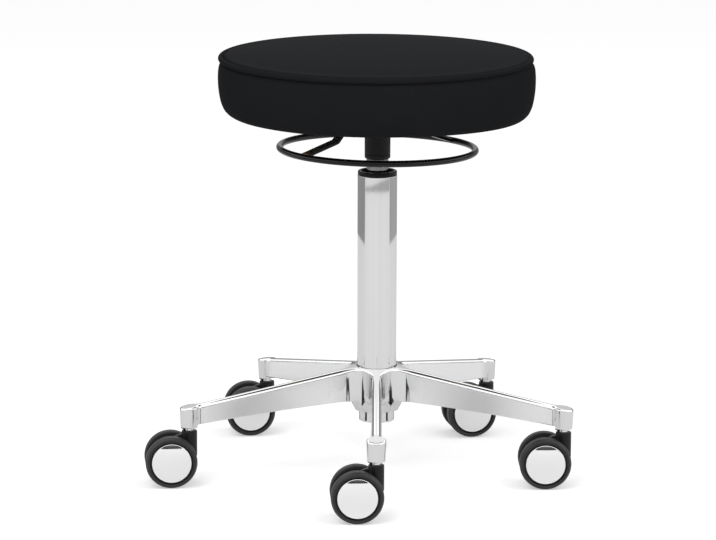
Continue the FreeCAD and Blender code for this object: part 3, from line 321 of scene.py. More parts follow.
def lathe(profile, count=96, origin=ORIGIN, across=X_AXIS, along=Y_AXIS, axis=UP, closed=True):
    """Surface of revolution: each profile point (radius, height) goes once round the axis."""
    turn = np.linspace(0, 2 * np.pi, count, endpoint=False)[:, None, None]
    radius, height = profile[:, :1], profile[:, 1:]
    points = origin + radius * (np.cos(turn) * across + np.sin(turn) * along) + height * axis
    return grid_shell(points, round_rows=True, round_columns=closed)


def turned(corners, count=96, *axes, closed=True):
    """Turned piece: each corner is (radius, height, rounding), with the rounding alone in millimetres."""
    corners = np.array(corners, float)
    return lathe(rounded(corners[:, :2], corners[:, 2] * MM, closed=closed), count, *axes, closed=closed)


def slab(outline, half, edge, origin, across, along, axis):
    """Plate of a closed outline, counterclockwise, with rounded edges.

    Station by station through the thickness the outline moves inwards by edge * (1 - cos t) while the
    height runs edge * (1 - sin t) short of the face, and both faces are closed flat.
    """
    ahead = unit(np.roll(outline, -1, axis=0) - np.roll(outline, 1, axis=0))
    outwards = np.stack([ahead[:, 1], -ahead[:, 0]], axis=1)
    swing = np.linspace(0, np.pi / 2, 4)
    inset = edge * (1 - np.cos(swing))
    height = half - edge * (1 - np.sin(swing))
    inset = np.concatenate([inset[::-1], inset])[:, None]
    height = np.concatenate([-height[::-1], height])[:, None]
    flat = outline[:, None] - outwards[:, None] * inset
    points = origin + flat[..., :1] * across + flat[..., 1:] * along + height * axis
    return grid_shell(points, round_rows=True, capped=True)


def swept(path, section, side):
    """Closed section carried along a flat path.

    The section's first coordinate lies along side, which is square to the path's plane, and its second
    along the path's normal, which is the path's direction turned a quarter about side.
    """
    normal = np.cross(unit(np.gradient(path, axis=0)), side)
    points = path[:, None] + section[:, :1] * side + section[:, 1:] * normal[:, None]
    return grid_shell(points, round_columns=True, capped=True)


# Pieces in the scene


def placed(name, data):
    """An object for a mesh, lamp or camera, put in the scene."""
    thing = bpy.data.objects.new(name, data)
    bpy.context.scene.collection.objects.link(thing)
    return thing


def new_mesh(name, points, faces):
    """A mesh with its doubles merged and its faces outwards."""
    mesh = bpy.data.meshes.new(name)
    mesh.from_pydata(points.tolist(), [], faces)
    tidy = bmesh.new()
    tidy.from_mesh(mesh)
    bmesh.ops.remove_doubles(tidy, verts=tidy.verts, dist=1e-6)
    bmesh.ops.dissolve_degenerate(tidy, edges=tidy.edges, dist=1e-7)
    bmesh.ops.recalc_face_normals(tidy, faces=tidy.faces)
    tidy.to_mesh(mesh)
    tidy.free()
    return mesh


def new_piece(name, shells, body, slot, replaced=(), dress=None, sharp=35):
    """One mesh of several shells, smooth but for edges sharper than an angle in degrees."""
    starts = np.cumsum([0] + [len(points) for points, _ in shells])
    faces = [[corner + int(start) for corner in face]
             for start, (_, shell_faces) in zip(starts, shells) for face in shell_faces]
    mesh = new_mesh(name, np.concatenate([points for points, _ in shells]), faces)
    mesh.shade_smooth()
    mesh.set_sharp_from_angle(angle=math.radians(sharp))
    piece = carried(name, mesh, body, slot, replaced, dress)
    piece.modifiers.new("even_shading", "WEIGHTED_NORMAL").keep_sharp = True


def carried(name, mesh, body, slot, replaced, dress=None):
    """Puts a mesh on its body in place of its nodes, in its slot's finish unless another is given."""
    piece = placed(name, mesh)
    mesh.materials.append(made_once(dress or SLOT_FINISHES[slot]))
    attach(piece, body)
    if replaced:
        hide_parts(*replaced)
    return piece


# Finishes


MADE = {}


def made_once(make):
    """What a function without arguments makes, built at its first call only."""
    if make not in MADE:
        MADE[make] = make()
    return MADE[make]


def fed(tree, node, values):
    """Sets a node's inputs: a socket is linked, any other value is the input's own."""
    for name, value in values.items():
        if isinstance(value, bpy.types.NodeSocket):
            tree.links.new(value, node.inputs[name])
        else:
            node.inputs[name].default_value = value
    return node


def new_node(tree, kind, values, **settings):
    """A new shader node with its settings and inputs."""
    node = tree.nodes.new("ShaderNode" + kind)
    for name, value in settings.items():
        setattr(node, name, value)
    return fed(tree, node, values)


def new_material(name):
    """A material with its node tree and shader."""
    material = bpy.data.materials.new(name)
    material.use_nodes = True
    return material, material.node_tree, material.node_tree.nodes["Principled BSDF"]


def colours():
    return bpy.context.scene.stool_colours


def toned(base, share):
    """A colour made darker or lighter by a share, with its alpha."""
    return (*(min(1.0, channel * share) for channel in base), 1.0)


def mixed_colour(tree, factor, low, high):
    """Colour that runs from low to high with a factor socket."""
    mix = new_node(tree, "Mix", {"Factor": factor, "A": low, "B": high}, data_type="RGBA")
    return mix.outputs["Result"]


def ranged(tree, factor, low, high, start=0.0, end=1.0):
    """Value that runs from low to high while a factor socket runs from start to end."""
    values = {"Value": factor, "From Min": start, "From Max": end, "To Min": low, "To Max": high}
    return new_node(tree, "MapRange", values).outputs["Result"]


def grain_group():
    """Shared surface grain: slow tone changes and fine height, both from noise on object coordinates."""
    group = bpy.data.node_groups.new("surface_grain", "ShaderNodeTree")
    for label, scale in (("Fine Scale", 900.0), ("Slow Scale", 40.0)):
        socket = group.interface.new_socket(label, in_out="INPUT", socket_type="NodeSocketFloat")
        socket.default_value = scale
    for label in ("Tone", "Height"):
        group.interface.new_socket(label, in_out="OUTPUT", socket_type="NodeSocketFloat")
    given = group.nodes.new("NodeGroupInput")
    result = group.nodes.new("NodeGroupOutput")
    place = new_node(group, "TexCoord", {}).outputs["Object"]
    for scale, detail, output in (("Fine Scale", 3.0, "Height"), ("Slow Scale", 2.0, "Tone")):
        values = {"Vector": place, "Scale": given.outputs[scale], "Detail": detail}
        fed(group, result, {output: new_node(group, "TexNoise", values).outputs["Fac"]})
    return group


def finish(name, base, spread=0.12, roughness=(0.3, 0.4), metallic=0.0, specular=0.5, fine=900.0, slow=40.0,
           depth=0.1, distance=0.00005, sheen=0.0):
    """A finish from the shared grain: tone varies colour and roughness, fine height bumps the surface.

    Fine and slow are the grain's scales. Depth is the bump's strength and distance its height in metres.
    """
    material, tree, shader = new_material(name)
    scales = {"Fine Scale": fine, "Slow Scale": slow}
    grain = new_node(tree, "Group", scales, node_tree=made_once(grain_group))
    tone, height = grain.outputs["Tone"], grain.outputs["Height"]
    bump = new_node(tree, "Bump", {"Strength": depth, "Distance": distance, "Height": height})
    fed(tree, shader, {
        "Base Color": mixed_colour(tree, tone, toned(base, 1 - spread), toned(base, 1 + spread)),
        "Roughness": ranged(tree, tone, *roughness),
        "Normal": bump.outputs["Normal"],
        "Metallic": metallic,
        "Specular IOR Level": specular,
        "Sheen Weight": sheen,
    })
    return material


def casting_finish():
    """Cast aluminium: polished at the hub, the bosses and along the edges, satin on the arms' upright sides.

    The satin share is high where the distance from the column lies between hub and boss and the surface
    stands upright; it runs the roughness from polish to satin, which is a real finish, and makes the metal
    paler, which is painted light that lifts the upright sides.
    """
    material = finish("polished_casting", colours().casting, spread=0.02, metallic=1.0, fine=60.0, slow=25.0,
                      depth=0.05, distance=0.0002)
    tree = material.node_tree
    point = new_node(tree, "TexCoord", {}).outputs
    in_plan = {0: point["Object"], 1: (1.0, 1.0, 0.0)}
    level = new_node(tree, "VectorMath", in_plan, operation="MULTIPLY").outputs["Vector"]
    reach = new_node(tree, "VectorMath", {0: level}, operation="LENGTH").outputs["Value"]
    facing = new_node(tree, "SeparateXYZ", {"Vector": point["Normal"]}).outputs["Z"]
    steep = new_node(tree, "Math", {0: facing}, operation="ABSOLUTE").outputs["Value"]
    past_hub = ranged(tree, reach, 0.0, 1.0, 0.046, 0.066)
    before_boss = ranged(tree, reach, 0.0, 1.0, 0.236, 0.226)
    upright = ranged(tree, steep, 0.0, 1.0, 0.35, 0.10)
    satin_and_painted_light = past_hub
    for share in (before_boss, upright):
        satin_and_painted_light = new_node(tree, "Math", {0: satin_and_painted_light, 1: share}, operation="MULTIPLY").outputs["Value"]
    shader = tree.nodes["Principled BSDF"]
    polish = shader.inputs["Base Color"].links[0].from_socket
    # the paler colour on the upright arm sides is painted light; the rougher satin is the real finish
    fed(tree, shader, {
        "Base Color": mixed_colour(tree, satin_and_painted_light, polish, (0.90, 0.90, 0.905, 1.0)),
        "Roughness": ranged(tree, satin_and_painted_light, 0.07, 0.30),
    })
    return material


def chrome_finish():
    """Chromed tube: bright, with faint draw lines along its length from noise stretched in height."""
    base = colours().chrome
    material = finish("bright_chrome", base, spread=0.015, roughness=(0.02, 0.05), metallic=1.0, fine=50.0,
                      slow=18.0, depth=0.02, distance=0.0002)
    tree = material.node_tree
    place = new_node(tree, "TexCoord", {}).outputs["Object"]
    stretch = new_node(tree, "Mapping", {"Vector": place, "Scale": (1.0, 1.0, 0.004)}).outputs["Vector"]
    lines = new_node(tree, "TexNoise", {"Vector": stretch, "Scale": 260.0, "Detail": 1.0}).outputs["Fac"]
    drawn = mixed_colour(tree, lines, toned(base, 0.92), toned(base, 1.07))
    fed(tree, tree.nodes["Principled BSDF"], {"Base Color": drawn})
    return material


def leather_finish():
    """Faux leather: creases between small cells over a finer grain, a soft shine and slow tone changes."""
    material = finish("faux_leather_cover", colours().leather, spread=0.10, roughness=(0.44, 0.52),
                      specular=0.001, fine=1800.0, slow=14.0, depth=0.18, distance=0.00008)
    tree = material.node_tree
    place = new_node(tree, "TexCoord", {}).outputs["Object"]
    cells = new_node(tree, "TexVoronoi", {"Vector": place, "Scale": 900.0}, feature="DISTANCE_TO_EDGE")
    creases = ranged(tree, cells.outputs["Distance"], 0.0, 1.0, 0.0, 0.18)
    grain = tree.nodes["Group"].outputs["Height"]
    total = new_node(tree, "Math", {0: grain, 1: 0.35, 2: creases}, operation="MULTIPLY_ADD")
    fed(tree, tree.nodes["Bump"], {"Height": total.outputs["Value"]})
    return material


def cap_finish():
    return finish("cap_chrome_finish", colours().cap, spread=0.01, roughness=(0.02, 0.05), metallic=1.0,
                  fine=80.0, slow=30.0, depth=0.01, distance=0.0001)


def silver_finish():
    return finish("silver_steel_finish", colours().silver, spread=0.03, roughness=(0.06, 0.12), metallic=1.0,
                  fine=400.0, depth=0.03)


def stem_finish():
    return finish("bright_stem_finish", (0.78, 0.78, 0.785), spread=0.03, roughness=(0.12, 0.2), metallic=1.0,
                  fine=400.0, depth=0.03)


def steel_finish():
    return finish("plain_steel_finish", (0.42, 0.42, 0.43), spread=0.10, roughness=(0.28, 0.42), metallic=1.0,
                  fine=700.0, depth=0.12)


def plastic_finish():
    """Moulded black plastic with fine spark erosion."""
    return finish("black_moulding", colours().black, spread=0.15, roughness=(0.36, 0.46), specular=0.26,
                  fine=1600.0, depth=0.25)


def paint_finish():
    return finish("black_coating", colours().black, spread=0.12, roughness=(0.36, 0.46), specular=0.22,
                  fine=1200.0, depth=0.2)


def gloss_finish():
    """Glossy black of the release ring, its bar and the tube's ring."""
    return finish("black_gloss_coating", (0.003, 0.003, 0.0032), spread=0.10, roughness=(0.12, 0.18),
                  specular=0.3, fine=350.0, depth=0.06)


def tyre_finish():
    """Grey wheel tread: matt, with a fine grain."""
    return finish("wheel_tyre", colours().tyre, spread=0.10, roughness=(0.42, 0.54), specular=0.3,
                  fine=1400.0, depth=0.3)


def natural_plastic_finish():
    return finish("natural_moulding", (0.62, 0.60, 0.54), spread=0.05, roughness=(0.35, 0.5), fine=1200.0)


def rubber_finish():
    return finish("bump_stop_rubber", (0.02, 0.02, 0.02), spread=0.2, roughness=(0.6, 0.75), fine=1500.0)


def plywood_finish():
    """Seat board: bare birch, mottled."""
    return finish("birch_board", (0.50, 0.36, 0.22), spread=0.10, roughness=(0.5, 0.65), fine=1400.0,
                  depth=0.2)


def cloth_finish():
    """Dust cover: black spun cloth."""
    return finish("dust_cover_cloth", (0.012, 0.012, 0.013), spread=0.3, roughness=(0.85, 0.95),
                  specular=0.2, fine=2600.0, depth=0.8, distance=0.0002, sheen=0.3)


SLOT_FINISHES = {
    "polished_aluminium": casting_finish,
    "chrome": chrome_finish,
    "cap_chrome": cap_finish,
    "silver_steel": silver_finish,
    "plain_steel": steel_finish,
    "black_plastic": plastic_finish,
    "natural_plastic": natural_plastic_finish,
    "wheel_grey": tyre_finish,
    "black_paint": paint_finish,
    "black_gloss": gloss_finish,
    "bump_rubber": rubber_finish,
    "plywood": plywood_finish,
    "foam": natural_plastic_finish,
    "faux_leather": leather_finish,
    "dust_cloth": cloth_finish,
}


# Star base


def stem_circle():
    """Distance from the column axis to a castor stem."""
    return float(np.hypot(*stem_of(CASTORS[0])[:2]))


def hub_mouth(sizes):
    """Radius of the hub's mouth round the tube."""
    return radius_of("column_tube") + sizes.hub_mouth


def arm_half(sizes):
    """Half an arm's plan, from midway between two arms to the arm's tip, with the arm along +X.

    A flute touches the arm's side, the side runs straight, and a hollow rounding leads into the boss's
    circle. Returns the points, their outward normals, the matching inner points (round the tube, then along
    the arm's middle, then at the boss's middle), the top edge's rounding, and masks for flute, side and boss.
    """
    half = sizes.arm_width / 2
    reach = stem_circle()
    step = np.radians(180 / len(CASTORS))
    waist, boss, fillet = sizes.hub_waist, sizes.boss_radius, sizes.boss_fillet
    flute = (waist * np.sin(step) - half) / (1 - np.sin(step))
    flute_centre = (waist + flute) * np.array([np.cos(step), np.sin(step)])
    fillet_run = np.sqrt((boss + fillet) ** 2 - (half + fillet) ** 2)
    fillet_centre = np.array([reach - fillet_run, half + fillet])
    boss_centre = np.array([reach, 0.0])
    meet = np.degrees(np.arctan2(half + fillet, fillet_run))
    counts = (14, 40, 10, 20)
    flute_points = arc(flute_centre, flute, 180 + np.degrees(step), 270, counts[0], False)
    share = np.linspace(0, 1, counts[1], endpoint=False)[:, None]
    side_points = (1 - share) * [flute_centre[0], half] + share * [fillet_centre[0], half]
    fillet_points = arc(fillet_centre, fillet, 270, 360 - meet, counts[2], False)
    boss_points = arc(boss_centre, boss, 180 - meet, 0, counts[3])
    points = np.concatenate([flute_points, side_points, fillet_points, boss_points])
    normals = np.concatenate([
        (flute_centre - flute_points) / flute,
        np.broadcast_to([0.0, 1.0], side_points.shape),
        (fillet_centre - fillet_points) / fillet,
        (boss_points - boss_centre) / boss,
    ])
    mouth = hub_mouth(sizes)
    round_tube = arc((0, 0), mouth, np.degrees(step), 0, counts[0], False)
    along_arm = np.concatenate([side_points, fillet_points])[:, 0]
    along_arm = (along_arm - along_arm[0]) / (boss_points[0, 0] - along_arm[0])
    middle = np.stack([mouth + along_arm * (reach - mouth), np.zeros_like(along_arm)], axis=1)
    inner = np.concatenate([round_tube, middle, np.broadcast_to(boss_centre, boss_points.shape)])
    edge = np.concatenate([
        np.linspace(sizes.hub_edge, sizes.arm_edge, counts[0], endpoint=False),
        np.full(counts[1], sizes.arm_edge),
        np.linspace(sizes.arm_edge, sizes.boss_edge, counts[2]),
        np.full(counts[3], sizes.boss_edge),
    ])
    kinds = np.repeat(np.arange(4), counts)
    return points, normals, inner, edge, kinds == 0, kinds == 1, kinds == 3


def whole_arm(half):
    """Both halves of an arm in one walk round it: the lower half outwards, then the upper half back."""
    walks = []
    for values in half:
        mirrored = values * [1.0, -1.0] if values.ndim == 2 else values
        walks.append(np.concatenate([mirrored, values[-2:0:-1]]))
    return walks


def star_shell(sizes):
    """The casting's skin as a grid: round the plan one way, over top, wall and underside the other way.

    The top is a cone that falls outwards. Each plan point gets a column: from the arm's middle to the edge,
    a quarter round, the wall, a rounded lower edge (a straight bevel at the hub), and back under the metal
    to the middle.
    """
    points, normals, inner, edge, flute, side, boss = whole_arm(arm_half(sizes))
    fall = np.tan(sizes.arm_fall)
    peak = top_of("star_base") + radius_of("column_tube") * fall

    def top(plan):
        return peak - np.linalg.norm(plan, axis=-1) * fall

    def drawn_in(distance):
        return points - normals * distance[:, None]

    hub_foot = foot_of("tube_bottom_plate") - sizes.hub_floor
    root_foot = peak - sizes.arm_root_depth
    tip = stem_circle() - sizes.boss_radius
    tip_foot = peak - tip * fall - sizes.arm_tip_depth
    root = points[side, 0].min()
    share = np.clip((points[:, 0] - root) / (tip - root), 0, 1)
    arch = root_foot + share * (tip_foot - root_foot) + 4 * sizes.arm_arch * share * (1 - share)
    hub_blend = 5 * MM
    spread = np.clip((np.linalg.norm(points, axis=1) - sizes.hub_waist) / hub_blend, 0, 1)
    hub_drop = hub_foot + (root_foot - hub_foot) * np.sqrt(spread * (2 - spread))
    foot = np.where(boss, boss_foot(), np.where(flute, hub_drop, arch))
    lower = sizes.lower_edge
    turn_in = np.where(flute, sizes.hub_turn_in * (1 - spread) + lower * spread, lower)
    turn_up = np.where(flute, sizes.hub_turn_height * (1 - spread) + lower * spread, lower)
    wall_draft, ledge, bore = 0.2 * MM, 1.0 * MM, 23.0 * MM
    draft = np.where(boss, sizes.boss_draft, wall_draft)
    inset = drawn_in(edge)
    crest = top(inset)
    high, low = crest - edge, foot + turn_up
    bends = np.radians(np.linspace(15, 90, 6))
    lines = []
    for share in np.linspace(0, 1, 5):
        plan = inner + share * (inset - inner)
        lines.append((plan, top(plan)))
    for bend in bends:
        lines.append((drawn_in(edge * (1 - np.sin(bend))), crest - edge * (1 - np.cos(bend))))
    for share in np.linspace(0.2, 1, 5):
        lines.append((drawn_in(draft * share), high + share * (low - high)))
    for bend in bends:
        straight = bend / np.radians(90)
        inwards = np.where(flute, straight, 1 - np.cos(bend))
        downwards = np.where(flute, straight, np.sin(bend))
        lines.append((drawn_in(draft + turn_in * inwards), low - turn_up * downwards))
    wall = np.where(side, sizes.arm_side_wall, turn_in + draft + ledge)
    under = drawn_in(np.where(boss, 0.6 * sizes.boss_radius, wall))
    lines.append((under, foot))
    last = np.where(flute[:, None], inner * (bore / hub_mouth(sizes)), inner)
    for plan in (under, last):
        lines.append((plan, np.where(side, top(plan) - sizes.arm_skin, foot)))
    grid = np.stack([np.column_stack(line) for line in lines], axis=1)
    return all_round(grid, flute)


def all_round(grid, flute):
    """An arm's grid turned to each castor in one walk, with the bore closed behind the flutes."""
    turns = np.sort([bearing_of(name) for name in CASTORS])[:, None, None]
    x, y, z = np.moveaxis(grid, -1, 0)
    whole = np.stack([x * np.cos(turns) - y * np.sin(turns), x * np.sin(turns) + y * np.cos(turns),
                      np.broadcast_to(z, (len(turns), *z.shape))], axis=-1).reshape(-1, grid.shape[1], 3)
    vertices, faces = grid_shell(whole, round_rows=True)
    rows, count = whole.shape[:2]
    at_tube = np.tile(flute, len(CASTORS))
    bore = np.flatnonzero(at_tube | np.roll(at_tube, -1))
    here, after = bore * count, (bore + 1) % rows * count
    closing = np.stack([here + count - 1, here, after, after + count - 1], axis=1)
    return vertices, faces + closing.tolist()


def lobed(points, sizes, inside):
    """Draws a round foot in between the arms.

    Outside a radius, r loses half the lobe times 1 - cos(5 t), with t from an arm.
    """
    radius = off_axis(points)
    turn = np.arctan2(points[:, 1], points[:, 0]) - bearing_of(CASTORS[0])
    drawn = sizes.hub_lobe * (1 - np.cos(len(CASTORS) * turn)) / 2
    margin = 0.1 * MM
    share = np.where(radius > inside + margin, 1 - drawn / radius, 1.0)
    return points * np.column_stack([share, share, np.ones_like(share)])


def collar_foot(sizes):
    """Lower end of the slotted collar."""
    return foot_of("star_base") - sizes.collar_drop


def collar_shells(sizes):
    """The hub's bevelled foot with its lobes, and the slotted collar: one arc block for each arm."""
    plate = foot_of("tube_bottom_plate")
    gap, overlap = 0.2 * MM, 8 * MM
    low, high = plate - sizes.hub_floor, plate - gap
    bore, outer, mouth = sizes.collar_bore, sizes.collar_radius, hub_mouth(sizes)
    hole = bore + gap
    pillar = sizes.hub_foot_radius + sizes.hub_turn_in
    pillar_top = top_of("star_base") - sizes.arm_root_depth + overlap
    points, faces = turned([(hole, low, 0), (sizes.hub_foot_radius, low, 0.5),
                            (pillar, low + sizes.hub_turn_height, 0), (pillar, pillar_top, 0),
                            (mouth, pillar_top, 0), (mouth, high, 0), (hole, high, 0)])
    shells = [(lobed(points, sizes, mouth), faces)]
    section = rectangle(bore, outer, collar_foot(sizes), high, np.array([0.5, 1.4, 0.3, 0.3]) * MM, steps=5)
    radius, height = section[:, :1], section[:, 1:]
    half = math.pi / len(CASTORS) - sizes.slot_width / 2 / outer
    for name in CASTORS:
        turn = np.linspace(bearing_of(name) - half, bearing_of(name) + half, 24)[:, None, None]
        points = radius * (np.cos(turn) * X_AXIS + np.sin(turn) * Y_AXIS) + height * UP
        shells.append(grid_shell(points, round_columns=True, capped=True))
    return shells


class STOOL_OT_base(Operator):
    """Polished five-arm casting with fluted hub, slotted collar and castor bosses"""
    bl_idname = "stool.base"
    bl_label = "Star base"

    def execute(self, context):
        sizes = context.scene.stool_base
        shells = [star_shell(sizes), *collar_shells(sizes)]
        new_piece("star_base_casting", shells, "base", "polished_aluminium", ("star_base",))
        # a black ring inside the collar paints the shade seen through its slots
        self.lining(sizes)
        return {"FINISHED"}

    def lining(self, sizes):
        """Painted shade: a thin black ring inside the slotted collar, so that the slots show dark."""
        thickness, edge = 0.8 * MM, 0.2 * MM
        low, high = collar_foot(sizes) + 0.8 * MM, foot_of("tube_bottom_plate") - 1.7 * MM
        outer = sizes.collar_bore - 0.05 * MM
        section = rectangle(outer - thickness, outer, low, high, edge, steps=3)
        new_piece("collar_lining", [lathe(section, 72)], "base", "black_plastic")


# Column


class STOOL_OT_column(Operator):
    """Chromed tube with its black ring, the gas lift's cylinder and the socket under the seat"""
    bl_idname = "stool.column"
    bl_label = "Column"

    def execute(self, context):
        self.tube()
        self.ring_cap()
        self.cylinder()
        self.socket()
        return {"FINISHED"}

    def tube(self):
        """Tube that tapers a little inside the hub."""
        low, high = heights_of("column_tube")
        radius = radius_of("column_tube")
        bore, foot = radius - 2.0 * MM, radius - 1.3 * MM
        shell = turned([(bore, low, 0), (foot, low, 0.4), (radius, top_of("star_base"), 0),
                        (radius, high, 0.8), (bore, high, 0.3)], 128)
        new_piece("column_tube_chromed", [shell], "base", "chrome", ("column_tube",))

    def ring_cap(self):
        """Black ring on the tube, with a raised rim round its ledge."""
        low, high = heights_of("column_ring_cap")
        foot, ledge = low + 0.1 * MM, low + 1.4 * MM
        radius = radius_of("column_ring_cap")
        outer, inside = radius - 0.2 * MM, radius - 4.5 * MM
        mouth = radius_of("gas_cylinder") + 0.15 * MM
        shell = turned([(mouth, foot, 0), (outer, foot, 0.4), (outer, high, 1.6), (inside, high, 1.0),
                        (inside, ledge, 0.6), (mouth, ledge, 0.3)])
        new_piece("column_ring_cap_moulded", [shell], "base", "black_plastic", ("column_ring_cap",),
                  gloss_finish)

    def cylinder(self):
        """Gas lift's cylinder, with its cone from the socket's foot upwards and a hole for the button."""
        low, high = heights_of("gas_cylinder")
        radius = radius_of("gas_cylinder")
        bore = radius - 1.5 * MM
        cone_foot = foot_of("cone_socket")
        tip = radius - (high - cone_foot) * CONE_SLOPE
        head = foot_of("valve_button") - 0.5 * MM
        hole = radius_of("valve_button") + 0.1 * MM
        shell = turned([(bore, low, 0), (radius, low, 0.8), (radius, cone_foot, 0), (tip, high, 0.6),
                        (hole, high, 0.2), (hole, head, 0), (bore, head, 0)])
        new_piece("gas_cylinder_silver", [shell], "seat", "silver_steel", ("gas_cylinder",))

    def socket(self):
        """Socket for the cone, with a turned line near its foot."""
        low, high = heights_of("cone_socket")
        radius = 16.3 * MM
        line_floor = radius - 0.6 * MM
        line_foot, line_top = low + 5.9 * MM, low + 6.9 * MM
        inner = radius_of("gas_cylinder") + 0.05 * MM
        tip = inner - (high - low) * CONE_SLOPE
        shell = turned([(inner, low, 0.3), (radius, low, 2.6), (radius, line_foot, 0.3),
                        (line_floor, line_foot, 0.1), (line_floor, line_top, 0.1), (radius, line_top, 0.3),
                        (radius, high, 0.6), (tip, high, 0.3)])
        new_piece("cone_socket_coated", [shell], "seat", "black_paint", ("cone_socket",))


# Release ring


class STOOL_OT_release(Operator):
    """Round release ring and the flat bent bar that carries it, a little lower at its right"""
    bl_idname = "stool.release"
    bl_label = "Release ring"

    def execute(self, context):
        sizes = context.scene.stool_seat
        low, high = heights_of("release_ring")
        rod = (high - low) / 2
        level = middle_of("release_ring") - sizes.ring_sink
        radius = radius_of("release_ring") - rod
        pivot, place = axis_of("ring_lift"), place_of("ring_lift")
        along = np.cross(UP, pivot)
        along *= np.sign(along @ place)
        lower = math.tan(sizes.ring_tilt) * np.sign(along[0])
        points, faces = lathe(arc((radius, level), rod, 0, 360, 24, endpoint=False), 256)
        points[:, 2] -= lower * ((points - place) @ along)
        new_piece("release_ring_coated", [(points, faces)], "release_lever", "black_gloss", ("release_ring",))
        flat_reach, knee_reach, knee_drop, bend = 49.5 * MM, 68 * MM, 20.5 * MM, 7 * MM
        corners = [(flat_reach, place[2]), (knee_reach, place[2] - knee_drop), (radius - rod / 2, level)]
        line = [(-x, z) for x, z in corners[::-1]] + corners
        line[0], line[-1] = [(x, z - lower * (x - place @ along)) for x, z in (line[0], line[-1])]
        route = rounded(line, bend, steps=9)
        path = route[:, :1] * along + route[:, 1:] * UP
        half_width, half_thick = 6 * MM, 2.5 * MM
        flat = rectangle(-half_width, half_width, -half_thick, half_thick, 1.1 * MM, steps=5)
        eye = rectangle(2.6 * MM, 5 * MM, -half_width, half_width, 0.5 * MM, steps=3)
        shells = [swept(path, flat, pivot), lathe(eye, 32, place, along, UP, pivot)]
        new_piece("release_bar_coated", shells, "release_lever", "black_gloss", ("release_bar",))
        return {"FINISHED"}


# Castors


